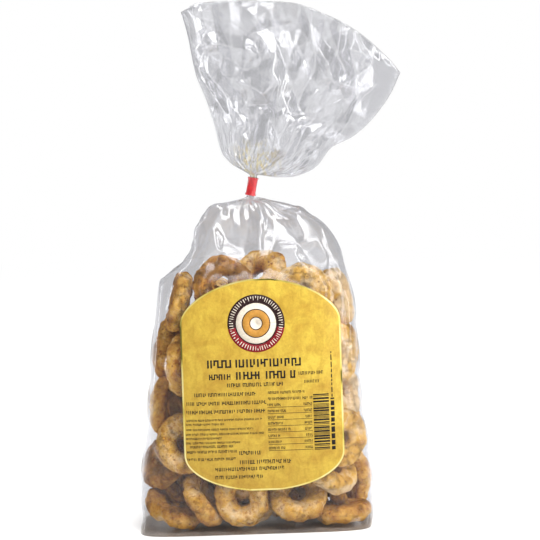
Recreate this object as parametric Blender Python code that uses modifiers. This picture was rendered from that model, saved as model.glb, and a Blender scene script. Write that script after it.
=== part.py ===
"""A clear film bag of small ring biscuits, standing on its flat base.

The bag is one solid: its body shows the rings that press against the film, its shoulders gather into a neck,
and above the neck the loose film opens into a crumpled fan. The film above the biscuits is empty, and its
space opens through the neck to the mouth of the fan. A red band holds the neck and a paper label lies on the
front.
Millimetres are used throughout and become metres when the meshes are written.
"""

import math
import random

import bmesh
import bpy
import numpy as np
from mathutils import Matrix

MM = 0.001

# Ring biscuits
RING_COUNT = 58
RING_RADIUS = 11.6
TUBE_RADIUS = 6.9
SMALLEST_RING = 0.90
LARGEST_RING = 1.05
RING_SEED = 17
RING_SEGMENTS = 14
TUBE_SEGMENTS = 7

# Film body, from the base to the neck: height, left edge, right edge, half depth, squareness of the section
BODY_OUTLINE = (
    (0.0, -68.6, 66.4, 33.0, 7.0),
    (10.0, -68.6, 69.0, 34.2, 5.4),
    (25.0, -69.4, 69.4, 36.0, 4.0),
    (40.0, -67.8, 68.6, 37.2, 4.0),
    (60.0, -64.4, 65.7, 37.6, 4.0),
    (85.0, -62.0, 63.9, 37.0, 4.0),
    (110.0, -59.3, 62.9, 35.4, 4.0),
    (130.0, -56.5, 61.8, 32.6, 4.0),
    (146.0, -54.2, 58.6, 29.6, 3.6),
    (154.0, -45.8, 57.2, 27.6, 3.2),
    (159.0, -39.8, 56.2, 26.2, 3.0),
    (168.0, -36.2, 53.2, 23.4, 2.8),
    (178.0, -33.0, 47.4, 19.4, 2.6),
    (185.5, -29.6, 38.0, 15.2, 2.4),
    (190.5, -22.6, 27.8, 10.4, 2.2),
    (192.0, -15.0, 18.6, 7.0, 2.1),
    (192.8, -6.0, 9.6, 4.2, 2.0),
)
COLUMNS = 56
BODY_LEVELS = (0, 3, 8, 18, 32, 50, 68, 86, 104, 120, 133, 143, 149, 154, 160, 168, 176, 183)
GATHER_LEVELS = (187, 190.5, 192, 192.8)
SECTION_STEPS = 720
CORE_INSET = 4.5
FOOT_HEIGHT = 13.0
FILL_HEIGHT = 150.0
FILL_EASE = 16.0

# Empty film above the biscuits: its wall, the floor that the top rings stand on, and the levels of its inside
WALL = 0.8
LEAST_OPEN_SHARE = 0.4
INSIDE_FLOOR = 137.0
INSIDE_LEVELS = (192, 190.5, 187, 183, 176, 168, 160, 154, 149, 143)
ROOF_FROM = 176.0
ROOF_RISE = 14.0
ROOF_DROP = 1.6
FAN_RAISED_SHARE = 0.6

# Pleats round the shoulders: how deep, how high they begin, and their folds round the bag, phases and weights
PLEAT_DEPTH = 2.3
PLEAT_RISE = 12.0
PLEAT_FULL_AT_DEPTH = 12.0
NECK_PLEATS_FROM = 172.0
NECK_PLEATS_RISE = 16.0
NECK_PLEATS = ((13, 0.8, 1.0), (19, 2.1, 0.6))
WIDE_PLEATS = ((7, 0.4, 1.0), (5, 1.3, 0.5))
PLEAT_PEAK = 1.6

# Neck
NECK_RADIUS = 2.0
NECK_FOOT = (1.8, 193.2)
NECK_TOP = (4.3, 205.4)

# Loose film above the neck, as seen from the front: side folds and mouth, x and height
FAN_LEFT = (
    (2.0, 206.4),
    (-3.5, 209.2),
    (-8.7, 212.9),
    (-13.7, 219.2),
    (-17.7, 236.2),
    (-22.4, 252.0),
    (-27.2, 264.9),
    (-31.5, 289.3),
    (-34.6, 301.5),
)
FAN_RIGHT = (
    (6.6, 205.8),
    (17.3, 204.0),
    (25.4, 203.8),
    (36.6, 206.7),
    (41.2, 209.6),
    (50.5, 220.4),
    (61.7, 225.6),
    (70.9, 232.5),
    (85.0, 249.6),
    (91.4, 262.3),
)
FAN_MOUTH = (
    (-34.6, 301.5),
    (-23.3, 306.6),
    (-0.2, 307.0),
    (28.7, 304.6),
    (50.4, 296.4),
    (67.3, 286.3),
    (85.3, 269.9),
    (91.4, 262.3),
)
FAN_LEVELS = (0.03, 0.075, 0.14, 0.22, 0.31, 0.41, 0.52, 0.64, 0.76, 0.88, 1.0)
FAN_BLEND_SHARE = 0.10
FAN_FIRST_RISE = 14.0
FAN_LIFT_POWER = 1.6
FAN_HALF_DEPTH = 15.0
FAN_LEAST_HALF_DEPTH = 0.9
FAN_DEPTH_POWER = 0.62
FAN_SIDE_POWER = 0.65
FAN_SWAY = 6.5
FAN_SWAY_TURNS = 1.15
FAN_SWAY_START = 0.12
FAN_PLEAT = 3.4
FAN_PLEAT_POWER = 0.8
FAN_PLEAT_SIDE_RISE = 2.2

# Folds across the fan: sharp and round ones, how unevenly they lie, and how the two layers differ
SHARP_FOLDS = 6.5
SHARP_WEIGHT = 0.75
SHARP_SHIFT = 0.37
ROUND_FOLDS = 3.1
ROUND_SHIFT = 0.17
UNEVEN_FOLDS = 1.7
UNEVEN_BY = 0.035
UNEVEN_SHIFT = 0.31

# Band round the neck
BAND_CLEARANCE = 0.3
BAND_THICKNESS = 0.55
BAND_LIP = 0.35
BAND_LIP_ROUNDING = 0.6
BAND_LIP_RUN = 0.35
BAND_LIP_END = 1.15
BAND_FOOT_SHARE = 0.07
BAND_TOP_SHARE = 0.91
BAND_STEPS = 28

# Label
LABEL_CENTRE_X = 5.4
LABEL_LOW = 26.4
LABEL_HALF_WIDTH = 46.0
LABEL_BOTTOM_ARC = 22.0
LABEL_STRAIGHT = 75.0
LABEL_TOP_ARC = 25.0
LABEL_TOP_POWER = 1.8
LABEL_GAP = 0.7
LABEL_THICKNESS = 0.5
LABEL_ROWS = 22
LABEL_COLUMNS = 14
LABEL_END_TURN = 1.45
LABEL_BLUNT_END = 0.25
LABEL_SIDE_EASE = 7.0
LABEL_END_EASE = 6.0
LABEL_SAFE_MARGIN = 20.0

# Rings that show at the front: x, height, the way the ring's axis points, and how far behind the film it lies
SHOWN_RINGS = (
    (-46.0, 131.0, (0.92, -0.20, -0.33), 0.0),
    (-48.0, 95.5, (0.93, -0.35, 0.10), 0.0),
    (-54.0, 101.0, (0.99, 0.10, 0.10), 26.0),
    (-53.0, 74.0, (0.85, -0.50, 0.10), 0.0),
    (-44.5, 51.0, (0.25, -0.93, 0.20), 0.0),
    (-55.5, 36.0, (-0.45, -0.55, 0.70), 8.0),
    (-50.0, 10.5, (0.30, -0.45, 0.85), 0.0),
    (-35.0, 17.0, (0.78, -0.35, 0.50), 0.0),
    (-9.7, 20.5, (0.05, -0.95, 0.30), 0.0),
    (29.7, 15.0, (0.05, -0.64, 0.77), 0.0),
    (47.0, 29.0, (0.45, -0.35, 0.82), 3.0),
    (53.5, 9.0, (0.10, -0.25, 0.96), 0.0),
    (60.5, 21.0, (0.98, 0.10, 0.15), 24.0),
    (55.5, 53.5, (0.62, -0.77, 0.10), 0.0),
    (53.5, 80.0, (0.93, -0.30, 0.15), 0.0),
    (53.5, 102.5, (0.93, -0.36, 0.00), 0.0),
    (57.0, 106.0, (0.99, 0.10, 0.10), 28.0),
    (41.0, 134.0, (0.50, -0.60, 0.60), 0.0),
    (52.5, 127.5, (0.90, -0.40, 0.10), 8.0),
    (-16.5, 142.0, (0.30, -0.85, 0.40), 0.0),
    (3.0, 143.0, (-0.30, -0.50, 0.80), 10.0),
    (21.0, 137.0, (0.20, -0.55, 0.80), 6.0),
)
REST_COLUMNS = ((-38, 10), (-13, 14), (13, 14), (38, 10), (-26, -6), (0, 0), (26, -6))
REST_LEVELS = (12.0, 142.0)
REST_STRAY = 8.0

# Settling of the rings in the bag: the shown ones take their places, then the rest grow and sink around them
BEADS = 12
PLACING_STEPS = 400
GROWING_STEPS = 500
SINKING_STEPS = 400
QUIET_STEPS = 300
PLACING_SIZE = 0.02
FIRST_SIZE = 0.35
FIRST_SHOWN_SIZE = 0.5
SINK_PER_STEP = 0.08
PULL = 0.10
PULL_IN_DEPTH = 0.10
SHOWN_MOBILITY = 0.03
CORRECTION = 1.6
FILM_WEIGHT = 4.0
FILM_CLEARANCE = 0.5
NEIGHBOUR_STEPS = 6
NEIGHBOUR_REACH = 2.5


def material(name, colour, roughness):
    """A plain finish for one sub-part."""
    made = bpy.data.materials.new(name)
    made.use_nodes = True
    shader = made.node_tree.nodes["Principled BSDF"]
    shader.inputs["Base Color"].default_value = (*colour, 1.0)
    shader.inputs["Roughness"].default_value = roughness
    shader.inputs["Metallic"].default_value = 0.0
    return made


def add_object(name, mesh, finish, collection):
    """Links a mesh as a named sub-part with its finish."""
    obj = bpy.data.objects.new(name, mesh)
    mesh.materials.append(finish)
    collection.objects.link(obj)
    return obj


def smooth_step(value):
    """Eases from 0 to 1."""
    value = min(1.0, max(0.0, value))
    return value * value * (3.0 - 2.0 * value)


def hermite_at(knots, values, at):
    """A smooth curve through values at knots that doesn't overshoot between them."""
    last = len(knots) - 1
    at = min(max(at, knots[0]), knots[last])
    i = max(k for k in range(last) if knots[k] <= at)
    slopes = [(values[k + 1] - values[k]) / (knots[k + 1] - knots[k]) for k in range(last)]

    def tangent(k):
        if k in (0, last):
            return slopes[min(k, last - 1)]
        if slopes[k - 1] * slopes[k] <= 0.0:
            return 0.0
        return 2.0 * slopes[k - 1] * slopes[k] / (slopes[k - 1] + slopes[k])

    width = knots[i + 1] - knots[i]
    t = (at - knots[i]) / width
    return (
        (2 * t**3 - 3 * t**2 + 1) * values[i]
        + (t**3 - 2 * t**2 + t) * width * tangent(i)
        + (3 * t**2 - 2 * t**3) * values[i + 1]
        + (t**3 - t**2) * width * tangent(i + 1)
    )


def body_section(height):
    """Left edge, right edge, half depth and squareness of the film at a height."""
    knots = [row[0] for row in BODY_OUTLINE]
    return [hermite_at(knots, [row[c] for row in BODY_OUTLINE], height) for c in (1, 2, 3, 4)]


def curve_at(points, share):
    """A point on the smooth curve through points, at a share of its length."""
    along = [0.0]
    for a, b in zip(points, points[1:]):
        along.append(along[-1] + math.dist(a, b))
    knots = [x / along[-1] for x in along]
    return [hermite_at(knots, [p[c] for p in points], share) for c in (0, 1)]


def section_loop(height, inset=0.0):
    """Evenly spaced points round the body at a height, from mid-back by way of the left side."""
    left, right, depth, power = body_section(height)
    width, centre = (right - left) / 2 - inset, (right + left) / 2
    depth -= inset
    fine = []
    for k in range(SECTION_STEPS + 1):
        angle = math.pi / 2 + math.tau * k / SECTION_STEPS
        c, s = math.cos(angle), math.sin(angle)
        reach = (abs(c / width) ** power + abs(s / depth) ** power) ** (-1 / power)
        fine.append((centre + reach * c, reach * s))
    along = [0.0]
    for a, b in zip(fine, fine[1:]):
        along.append(along[-1] + math.dist(a, b))
    loop, i = [], 0
    for column in range(COLUMNS):
        target = along[-1] * column / COLUMNS
        while along[i + 1] < target:
            i += 1
        share = (target - along[i]) / (along[i + 1] - along[i])
        loop.append([fine[i][c] + share * (fine[i + 1][c] - fine[i][c]) for c in (0, 1)])
    return loop


def front_depth(x, height):
    """How far forward the smooth film reaches at x on the front."""
    left, right, depth, power = body_section(height)
    across = abs((x - (left + right) / 2) / ((right - left) / 2))
    return depth * (1.0 - min(across, 0.999) ** power) ** (1.0 / power)


def label_half_width(height):
    """Half the label's width at a height above its lowest point, 0 past its ends."""
    if height < LABEL_BOTTOM_ARC:
        up = 1.0 - height / LABEL_BOTTOM_ARC
        return LABEL_HALF_WIDTH * math.sqrt(max(0.0, 1.0 - up * up))
    top = height - LABEL_BOTTOM_ARC - LABEL_STRAIGHT
    if top <= 0.0:
        return LABEL_HALF_WIDTH
    up = min(1.0, top / LABEL_TOP_ARC)
    return LABEL_HALF_WIDTH * (1.0 - up**LABEL_TOP_POWER) ** (1.0 / LABEL_TOP_POWER)


def label_backing(x, y, height):
    """1 where the film lies flat behind the label, easing to 0 just inside its edge."""
    if y > 0.0:
        return 0.0
    label_top = LABEL_LOW + LABEL_BOTTOM_ARC + LABEL_STRAIGHT + LABEL_TOP_ARC
    from_end = min(height - LABEL_LOW, label_top - height)
    if from_end <= 0.0:
        return 0.0
    inside = label_half_width(height - LABEL_LOW) - abs(x - LABEL_CENTRE_X)
    return smooth_step(inside / LABEL_SIDE_EASE) * smooth_step(from_end / LABEL_END_EASE)


def pleat_wave(column, near_neck):
    """Uneven folds round the shoulders, from -1 to 1: wide ones that turn into fine ones near the neck."""
    turn = math.tau * column / COLUMNS
    fine = sum(weight * math.cos(count * turn + phase) for count, phase, weight in NECK_PLEATS)
    wide = sum(weight * math.cos(count * turn + phase) for count, phase, weight in WIDE_PLEATS)
    return (fine * near_neck + wide * (1.0 - near_neck)) / PLEAT_PEAK


def pleat_depth(height):
    """How deep the shoulders' pleats are at a height."""
    deep = PLEAT_DEPTH * min(1.0, body_section(height)[2] / PLEAT_FULL_AT_DEPTH)
    return deep * smooth_step((height - FILL_HEIGHT) / PLEAT_RISE)


def core_share(height):
    """1 where the body is drawn in to its core, so that rings stand out of it, and 0 where it is the film."""
    return smooth_step(height / FOOT_HEIGHT) * (1.0 - smooth_step((height - FILL_HEIGHT) / FILL_EASE + 1.0))


def body_loop(height):
    """One ring of the solid body, drawn in where rings stand out of it, and pleated at the shoulders."""
    outer = section_loop(height)
    filled = core_share(height)
    if filled > 0.0:
        inner = section_loop(height, CORE_INSET * filled)
        blend = [label_backing(x, y, height) for x, y in outer]
        return [[i[c] + b * (o[c] - i[c]) for c in (0, 1)] for o, i, b in zip(outer, inner, blend)]
    near_neck = smooth_step((height - NECK_PLEATS_FROM) / NECK_PLEATS_RISE)
    left, right, _depth, _power = body_section(height)
    centre = (left + right) / 2
    deep = pleat_depth(height)
    loop = []
    for column, (x, y) in enumerate(outer):
        drawn_in = deep * (1.0 - pleat_wave(column, near_neck)) / 2.0
        shrink = 1.0 - drawn_in / math.hypot(x - centre, y)
        loop.append([centre + (x - centre) * shrink, y * shrink])
    return loop


def neck_loop(share, inset=0.0):
    """A round ring of the neck, at a share of the way up it."""
    radius = NECK_RADIUS - inset
    x = NECK_FOOT[0] + share * (NECK_TOP[0] - NECK_FOOT[0])
    z = NECK_FOOT[1] + share * (NECK_TOP[1] - NECK_FOOT[1])
    loop = []
    for column in range(COLUMNS):
        angle = math.pi / 2 + math.tau * column / COLUMNS
        loop.append([x + radius * math.cos(angle), radius * math.sin(angle), z])
    return loop


def fold_wave(across, seed):
    """Sharp uneven folds across the fan, from -1 to 1."""
    uneven = across + UNEVEN_BY * math.sin(math.tau * (UNEVEN_FOLDS * across + UNEVEN_SHIFT * seed))
    sharp = abs(((SHARP_FOLDS * uneven + SHARP_SHIFT * seed) % 1.0) * 2.0 - 1.0) * 2.0 - 1.0
    wavy = math.cos(math.tau * (ROUND_FOLDS * uneven + ROUND_SHIFT * seed))
    return SHARP_WEIGHT * sharp + (1.0 - SHARP_WEIGHT) * wavy


def fan_point(out, across, side):
    """A point of the fan: out from the neck, across from its left fold, and on side -1, the front, or 1."""
    left, right = curve_at(FAN_LEFT, out), curve_at(FAN_RIGHT, out)
    mouth = curve_at(FAN_MOUTH, across)
    lift = out**FAN_LIFT_POWER
    x, z = (
        (1 - across) * left[c]
        + across * right[c]
        + lift * (mouth[c] - (1 - across) * FAN_MOUTH[0][c] - across * FAN_MOUTH[-1][c])
        for c in (0, 1)
    )
    open_share = math.sin(math.pi * across) ** FAN_SIDE_POWER
    depth = FAN_HALF_DEPTH * out**FAN_DEPTH_POWER * open_share
    pleat = FAN_PLEAT * out**FAN_PLEAT_POWER * min(1.0, FAN_PLEAT_SIDE_RISE * open_share) * open_share
    depth = max(depth + pleat * fold_wave(across, 1 + side), FAN_LEAST_HALF_DEPTH * open_share)
    sway = FAN_SWAY * out * math.sin(math.tau * (FAN_SWAY_TURNS * across + FAN_SWAY_START)) * open_share
    return [x, sway + side * depth, z]


def fan_loop(out):
    """One ring of the fan, blended from the round neck close to it."""
    blend = smooth_step(out / FAN_BLEND_SHARE)
    round_neck = neck_loop(1.0)
    half = COLUMNS // 2
    loop = []
    for column in range(COLUMNS):
        turn = (column - COLUMNS // 4) % COLUMNS
        front = turn <= half
        across = turn / half if front else 2.0 - turn / half
        there = fan_point(out, across, -1 if front else 1)
        near = [a + b for a, b in zip(round_neck[column], (0.0, 0.0, FAN_FIRST_RISE * out))]
        loop.append([n + blend * (t - n) for n, t in zip(near, there)])
    return loop


def fan_inside(out):
    """The inner side of one ring of the fan: drawn in by the wall, and raised where the fan lies flat."""
    loop = fan_loop(out)
    raised = WALL * (1.0 - smooth_step(out / FAN_RAISED_SHARE))
    inward = []
    for k in range(COLUMNS):
        (bx, by, _), (ax, ay, _) = loop[k - 1], loop[(k + 1) % COLUMNS]
        run = math.hypot(ax - bx, ay - by)
        inward.append(((by - ay) / run, (ax - bx) / run))
    inner = []
    for k, (x, y, z) in enumerate(loop):
        facing = (COLUMNS // 2 - k) % COLUMNS
        middle = (y + loop[facing][1]) / 2
        along = WALL * (inward[k][0] + inward[facing][0]) / 2
        kept = max(LEAST_OPEN_SHARE, 1.0 - WALL * abs(inward[k][1]) / max(abs(y - middle), WALL))
        inner.append([x + along, middle + kept * (y - middle), z + raised])
    return inner


def body_inside(height):
    """The inner side of the film at a height: smooth, behind the pleats, and lowered under the shoulders."""
    inset = WALL + CORE_INSET * core_share(height) + pleat_depth(height)
    low = height - ROOF_DROP * smooth_step((height - ROOF_FROM) / ROOF_RISE)
    return [[x, y, low] for x, y in section_loop(height, inset)]


def bag_loops():
    """Every ring of the bag: up its outside to the mouth of the fan, then down its inside to the biscuits."""
    body = [[[x, y, height] for x, y in body_loop(height)] for height in BODY_LEVELS + GATHER_LEVELS]
    neck = [neck_loop(share) for share in (0.0, 0.5, 1.0)]
    fan = [fan_loop(out) for out in FAN_LEVELS]
    inside = [fan_inside(out) for out in FAN_LEVELS[::-1]]
    inside += [neck_loop(share, WALL) for share in (1.0, 0.5, 0.0)]
    inside += [body_inside(height) for height in INSIDE_LEVELS + (INSIDE_FLOOR,)]
    return body + neck + fan + inside


def bag_mesh():
    """The bag's core and film as one closed loft, with a flat base and an open mouth."""
    bm = bmesh.new()
    rows = [[bm.verts.new([c * MM for c in point]) for point in loop] for loop in bag_loops()]
    for low, high in zip(rows, rows[1:]):
        for k in range(COLUMNS):
            n = (k + 1) % COLUMNS
            bm.faces.new((low[k], low[n], high[n], high[k]))
    bm.faces.new(rows[0][::-1])
    bm.faces.new(rows[-1])
    bmesh.ops.recalc_face_normals(bm, faces=bm.faces)
    bmesh.ops.triangulate(bm, faces=bm.faces)
    mesh = bpy.data.meshes.new("bag")
    bm.to_mesh(mesh)
    bm.free()
    return mesh


def turned(vector, spin):
    """The cross product of two arrays of vectors, worked out one component at a time."""
    ax, ay, az = vector[..., 0], vector[..., 1], vector[..., 2]
    bx, by, bz = spin[..., 0], spin[..., 1], spin[..., 2]
    return np.stack((ay * bz - az * by, az * bx - ax * bz, ax * by - ay * bx), axis=-1)


def length_of(vectors):
    """Lengths of an array of vectors."""
    squares = vectors * vectors
    return np.sqrt(squares[..., 0] + squares[..., 1] + squares[..., 2])


def bag_limits():
    """Heights, centres, half widths and half depths of the film, one for each millimetre of height."""
    heights = [float(h) for h in range(0, 193)]
    rows = [body_section(h) for h in heights]
    centre = [round((r[0] + r[1]) / 2, 6) for r in rows]
    width = [round((r[1] - r[0]) / 2, 6) for r in rows]
    depth = [round(r[2], 6) for r in rows]
    return [np.array(column) for column in (heights, centre, width, depth)]


def film_push(beads, radius, limits):
    """How far each bead has to move to lie inside the film."""
    heights, centres, widths, depths = limits
    centre = np.interp(beads[:, 2], heights, centres)
    width = np.interp(beads[:, 2], heights, widths) - radius - FILM_CLEARANCE
    depth = np.interp(beads[:, 2], heights, depths) - radius - FILM_CLEARANCE
    u = (beads[:, 0] - centre) / width
    v = beads[:, 1] / depth
    u, v = u * u, v * v
    reach = np.sqrt(np.sqrt(u * u + v * v))
    share = np.minimum(1.0, 1.0 / np.maximum(reach, 0.01)) - 1.0
    floor = np.maximum(radius + FILM_CLEARANCE - beads[:, 2], 0.0)
    return np.stack(((beads[:, 0] - centre) * share, beads[:, 1] * share, floor), axis=-1)


def unit(vector):
    """The vector's direction, rounded so that it is the same on every machine."""
    size = math.sqrt(sum(c * c for c in vector))
    return [round(c / size, 6) for c in vector]


def first_places(sizes, rng):
    """Where each ring starts and the way its axis points: the shown rings first, then the rest."""
    places, axes = [], []
    for size, (x, height, axis, behind) in zip(sizes, SHOWN_RINGS):
        axis = unit(axis)
        reach = TUBE_RADIUS + RING_RADIUS * math.sqrt(1.0 - axis[1] ** 2)
        places.append([x, round(reach * size + behind - front_depth(x, height), 6), height])
        axes.append(axis)
    rest = RING_COUNT - len(SHOWN_RINGS)
    layers = math.ceil(rest / len(REST_COLUMNS))
    low, high = REST_LEVELS
    for k in range(rest):
        x, y = REST_COLUMNS[k % len(REST_COLUMNS)]
        level = low + (high - low) * (k // len(REST_COLUMNS)) / layers
        places.append([x + REST_STRAY * (rng.random() - 0.5), y + REST_STRAY * (rng.random() - 0.5), level])
        axes.append(unit([rng.random() - 0.5 for _ in range(3)]))
    return np.array(places), np.array(axes)


def ring_frames(axes):
    """Two directions across each ring's plane."""
    lean = np.where(np.abs(axes[:, 2:3]) < 0.8, [[0.0, 0.0, 1.0]], [[0.0, 1.0, 0.0]])
    across = turned(lean, axes)
    across = across / length_of(across)[:, None]
    return across, turned(axes, across)


def touching_beads(beads, places, radii, tubes):
    """The pairs of beads, from different rings, that touch or soon may."""
    reach = radii + tubes
    apart = length_of(places[:, None, :] - places[None, :, :])
    one, two = np.nonzero(np.triu(apart < reach[:, None] + reach[None, :] + NEIGHBOUR_REACH, 1))
    grid = beads.reshape(RING_COUNT, BEADS, 3)
    gaps = length_of(grid[one][:, :, None, :] - grid[two][:, None, :, :])
    pair, a, b = np.nonzero(gaps < (tubes[one] + tubes[two])[:, None, None] + NEIGHBOUR_REACH)
    return one[pair] * BEADS + a, two[pair] * BEADS + b


def part_rings(places, arms, tubes, owner, pairs, mobility, limits):
    """How far each ring has to move, and turn for a unit arm, to come free of its neighbours and the film."""
    first, second = pairs
    beads = places[owner] + arms
    tube = tubes[owner]
    gap = beads[first] - beads[second]
    distance = np.maximum(length_of(gap), 0.001)
    overlap = np.maximum(tube[first] + tube[second] - distance, 0.0)
    share = mobility[owner[first]] / (mobility[owner[first]] + mobility[owner[second]])
    shove = gap * (overlap / distance)[:, None]
    wall = film_push(beads, tube, limits)
    weight = np.zeros(RING_COUNT)
    moved, spun = np.zeros((RING_COUNT, 3)), np.zeros((RING_COUNT, 3))
    pushes = (
        (first, shove * share[:, None], overlap),
        (second, shove * (share - 1.0)[:, None], overlap),
        (np.arange(len(beads)), wall, FILM_WEIGHT * length_of(wall)),
    )
    for bead, push, depth in pushes:
        push = push * depth[:, None]
        torque = turned(arms[bead], push)
        weight += np.bincount(owner[bead], weights=depth, minlength=RING_COUNT)
        for c in range(3):
            moved[:, c] += np.bincount(owner[bead], weights=push[:, c], minlength=RING_COUNT)
            spun[:, c] += np.bincount(owner[bead], weights=torque[:, c], minlength=RING_COUNT)
    weight = np.maximum(weight, 1e-9)[:, None]
    return CORRECTION * moved / weight, CORRECTION * spun / weight


def settle_rings():
    """Places, cross directions, axes and sizes of the rings, packed in the bag.

    Each ring is a loop of beads that push the others and the film. Only sums, products and square roots are
    used, in a fixed order, so that the result is the same on every machine.
    """
    rng = random.Random(RING_SEED)
    spread = LARGEST_RING - SMALLEST_RING
    sizes = [round(SMALLEST_RING + spread * rng.random(), 6) for _ in range(RING_COUNT)]
    places, axes = first_places(sizes, rng)
    sizes = np.array(sizes)
    shown = len(SHOWN_RINGS)
    is_shown = np.arange(RING_COUNT) < shown
    wanted, wanted_axes = places[:shown].copy(), axes[:shown].copy()
    pull = np.array((PULL, PULL * PULL_IN_DEPTH, PULL))
    turns = [math.tau * k / BEADS for k in range(BEADS)]
    cosines = np.array([round(math.cos(t), 9) for t in turns])[None, :, None]
    sines = np.array([round(math.sin(t), 9) for t in turns])[None, :, None]
    owner = np.repeat(np.arange(RING_COUNT), BEADS)
    limits = bag_limits()
    across, up = ring_frames(axes)
    steps = PLACING_STEPS + GROWING_STEPS + SINKING_STEPS + QUIET_STEPS
    for step in range(steps):
        placing = step < PLACING_STEPS
        grown = min(1.0, max(0.0, step - PLACING_STEPS) / GROWING_STEPS)
        shown_size = min(1.0, FIRST_SHOWN_SIZE + step / PLACING_STEPS)
        rest_size = PLACING_SIZE if placing else FIRST_SIZE + (1.0 - FIRST_SIZE) * grown
        scale = sizes * np.where(is_shown, shown_size, rest_size)
        mobility = np.where(is_shown & (not placing), SHOWN_MOBILITY, 1.0)
        radii, tubes = RING_RADIUS * scale, TUBE_RADIUS * scale
        moving = step < steps - QUIET_STEPS
        if moving:
            places[:shown] += pull * (wanted - places[:shown])
            places[shown:, 2] -= 0.0 if placing else SINK_PER_STEP
        arms = ((across[:, None, :] * cosines + up[:, None, :] * sines) * radii[:, None, None]).reshape(-1, 3)
        if step % NEIGHBOUR_STEPS == 0:
            pairs = touching_beads(places[owner] + arms, places, radii, tubes)
        moved, spin = part_rings(places, arms, tubes, owner, pairs, mobility, limits)
        places += moved
        spin = spin / (radii * radii)[:, None]
        if moving:
            spin[:shown] += PULL * turned(axes[:shown], wanted_axes)
        axes = axes + turned(spin, axes)
        across = across + turned(spin, across)
        axes = axes / length_of(axes)[:, None]
        up = turned(axes, across)
        up = up / length_of(up)[:, None]
        across = turned(up, axes)
    return places, across, axes, sizes


def stands_out(place, axis, size):
    """True if the ring reaches past the body's core where the label doesn't hide it, or above its top."""
    lean = math.sqrt(max(0.0, 1.0 - axis[1] ** 2))
    tube = TUBE_RADIUS * size
    if place[2] + RING_RADIUS * size * math.sqrt(max(0.0, 1.0 - axis[2] ** 2)) + tube > INSIDE_FLOOR:
        return True
    reach_x = RING_RADIUS * size * math.sqrt(max(0.0, 1.0 - axis[0] ** 2)) + tube
    reach_y = RING_RADIUS * size * lean + tube
    left, right, depth, _power = body_section(place[2])
    beside = min(right - place[0], place[0] - left) - reach_x < CORE_INSET
    behind = place[1] + reach_y > depth - CORE_INSET
    before = -(place[1] - reach_y) > depth - CORE_INSET
    covered = label_backing(place[0], -1.0, place[2]) > 0.0
    half = label_half_width(max(0.0, place[2] - LABEL_LOW))
    well_inside = covered and abs(place[0] - LABEL_CENTRE_X) < half - LABEL_SAFE_MARGIN
    return beside or behind or (before and not well_inside)


def ring_objects(collection):
    """One coarse ring for each biscuit that shows, to be joined to the bag."""
    for k, (place, across, axis, size) in enumerate(zip(*settle_rings())):
        if not stands_out(place, axis, size):
            continue
        facing = Matrix((across, turned(axis, across), axis)).transposed()
        bpy.ops.mesh.primitive_torus_add(
            major_segments=RING_SEGMENTS,
            minor_segments=TUBE_SEGMENTS,
            major_radius=RING_RADIUS * size * MM,
            minor_radius=TUBE_RADIUS * size * MM,
            location=place * MM,
            rotation=facing.to_euler(),
        )
        ring = bpy.context.object
        ring.name = f"ring_{k:02d}"
        for holder in list(ring.users_collection):
            holder.objects.unlink(ring)
        collection.objects.link(ring)


def join_rings(bag, collection):
    """Fuses the rings to the bag's core with one Boolean union and removes them."""
    fuse = bag.modifiers.new("rings", "BOOLEAN")
    fuse.operation = "UNION"
    fuse.operand_type = "COLLECTION"
    fuse.collection = collection
    fuse.solver = "MANIFOLD"
    depsgraph = bpy.context.evaluated_depsgraph_get()
    fused = bpy.data.meshes.new_from_object(bag.evaluated_get(depsgraph))
    bag.modifiers.clear()
    bag.data = fused
    for obj in list(collection.objects):
        bpy.data.objects.remove(obj)
    bpy.data.collections.remove(collection)


def label_mesh():
    """The label as a sheet that follows the film, rounded below and arched above."""
    height = LABEL_BOTTOM_ARC + LABEL_STRAIGHT + LABEL_TOP_ARC
    bm = bmesh.new()
    bmesh.ops.create_grid(bm, x_segments=LABEL_COLUMNS, y_segments=LABEL_ROWS, size=1.0)
    for vert in bm.verts:
        up = height * (1.0 + math.sin(LABEL_END_TURN * vert.co.y) / math.sin(LABEL_END_TURN)) / 2.0
        up = min(max(up, LABEL_BLUNT_END), height - LABEL_BLUNT_END)
        x = LABEL_CENTRE_X + label_half_width(up) * vert.co.x
        y = -front_depth(x, LABEL_LOW + up) - LABEL_GAP
        vert.co = (x * MM, y * MM, (LABEL_LOW + up) * MM)
    bmesh.ops.triangulate(bm, faces=bm.faces)
    mesh = bpy.data.meshes.new("label")
    bm.to_mesh(mesh)
    bm.free()
    return mesh


def add_label(finish, collection):
    """The paper label, given its thickness outwards."""
    label = add_object("label", label_mesh(), finish, collection)
    sheet = label.modifiers.new("thickness", "SOLIDIFY")
    sheet.thickness = LABEL_THICKNESS * MM
    sheet.offset = 1.0
    return label


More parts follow.
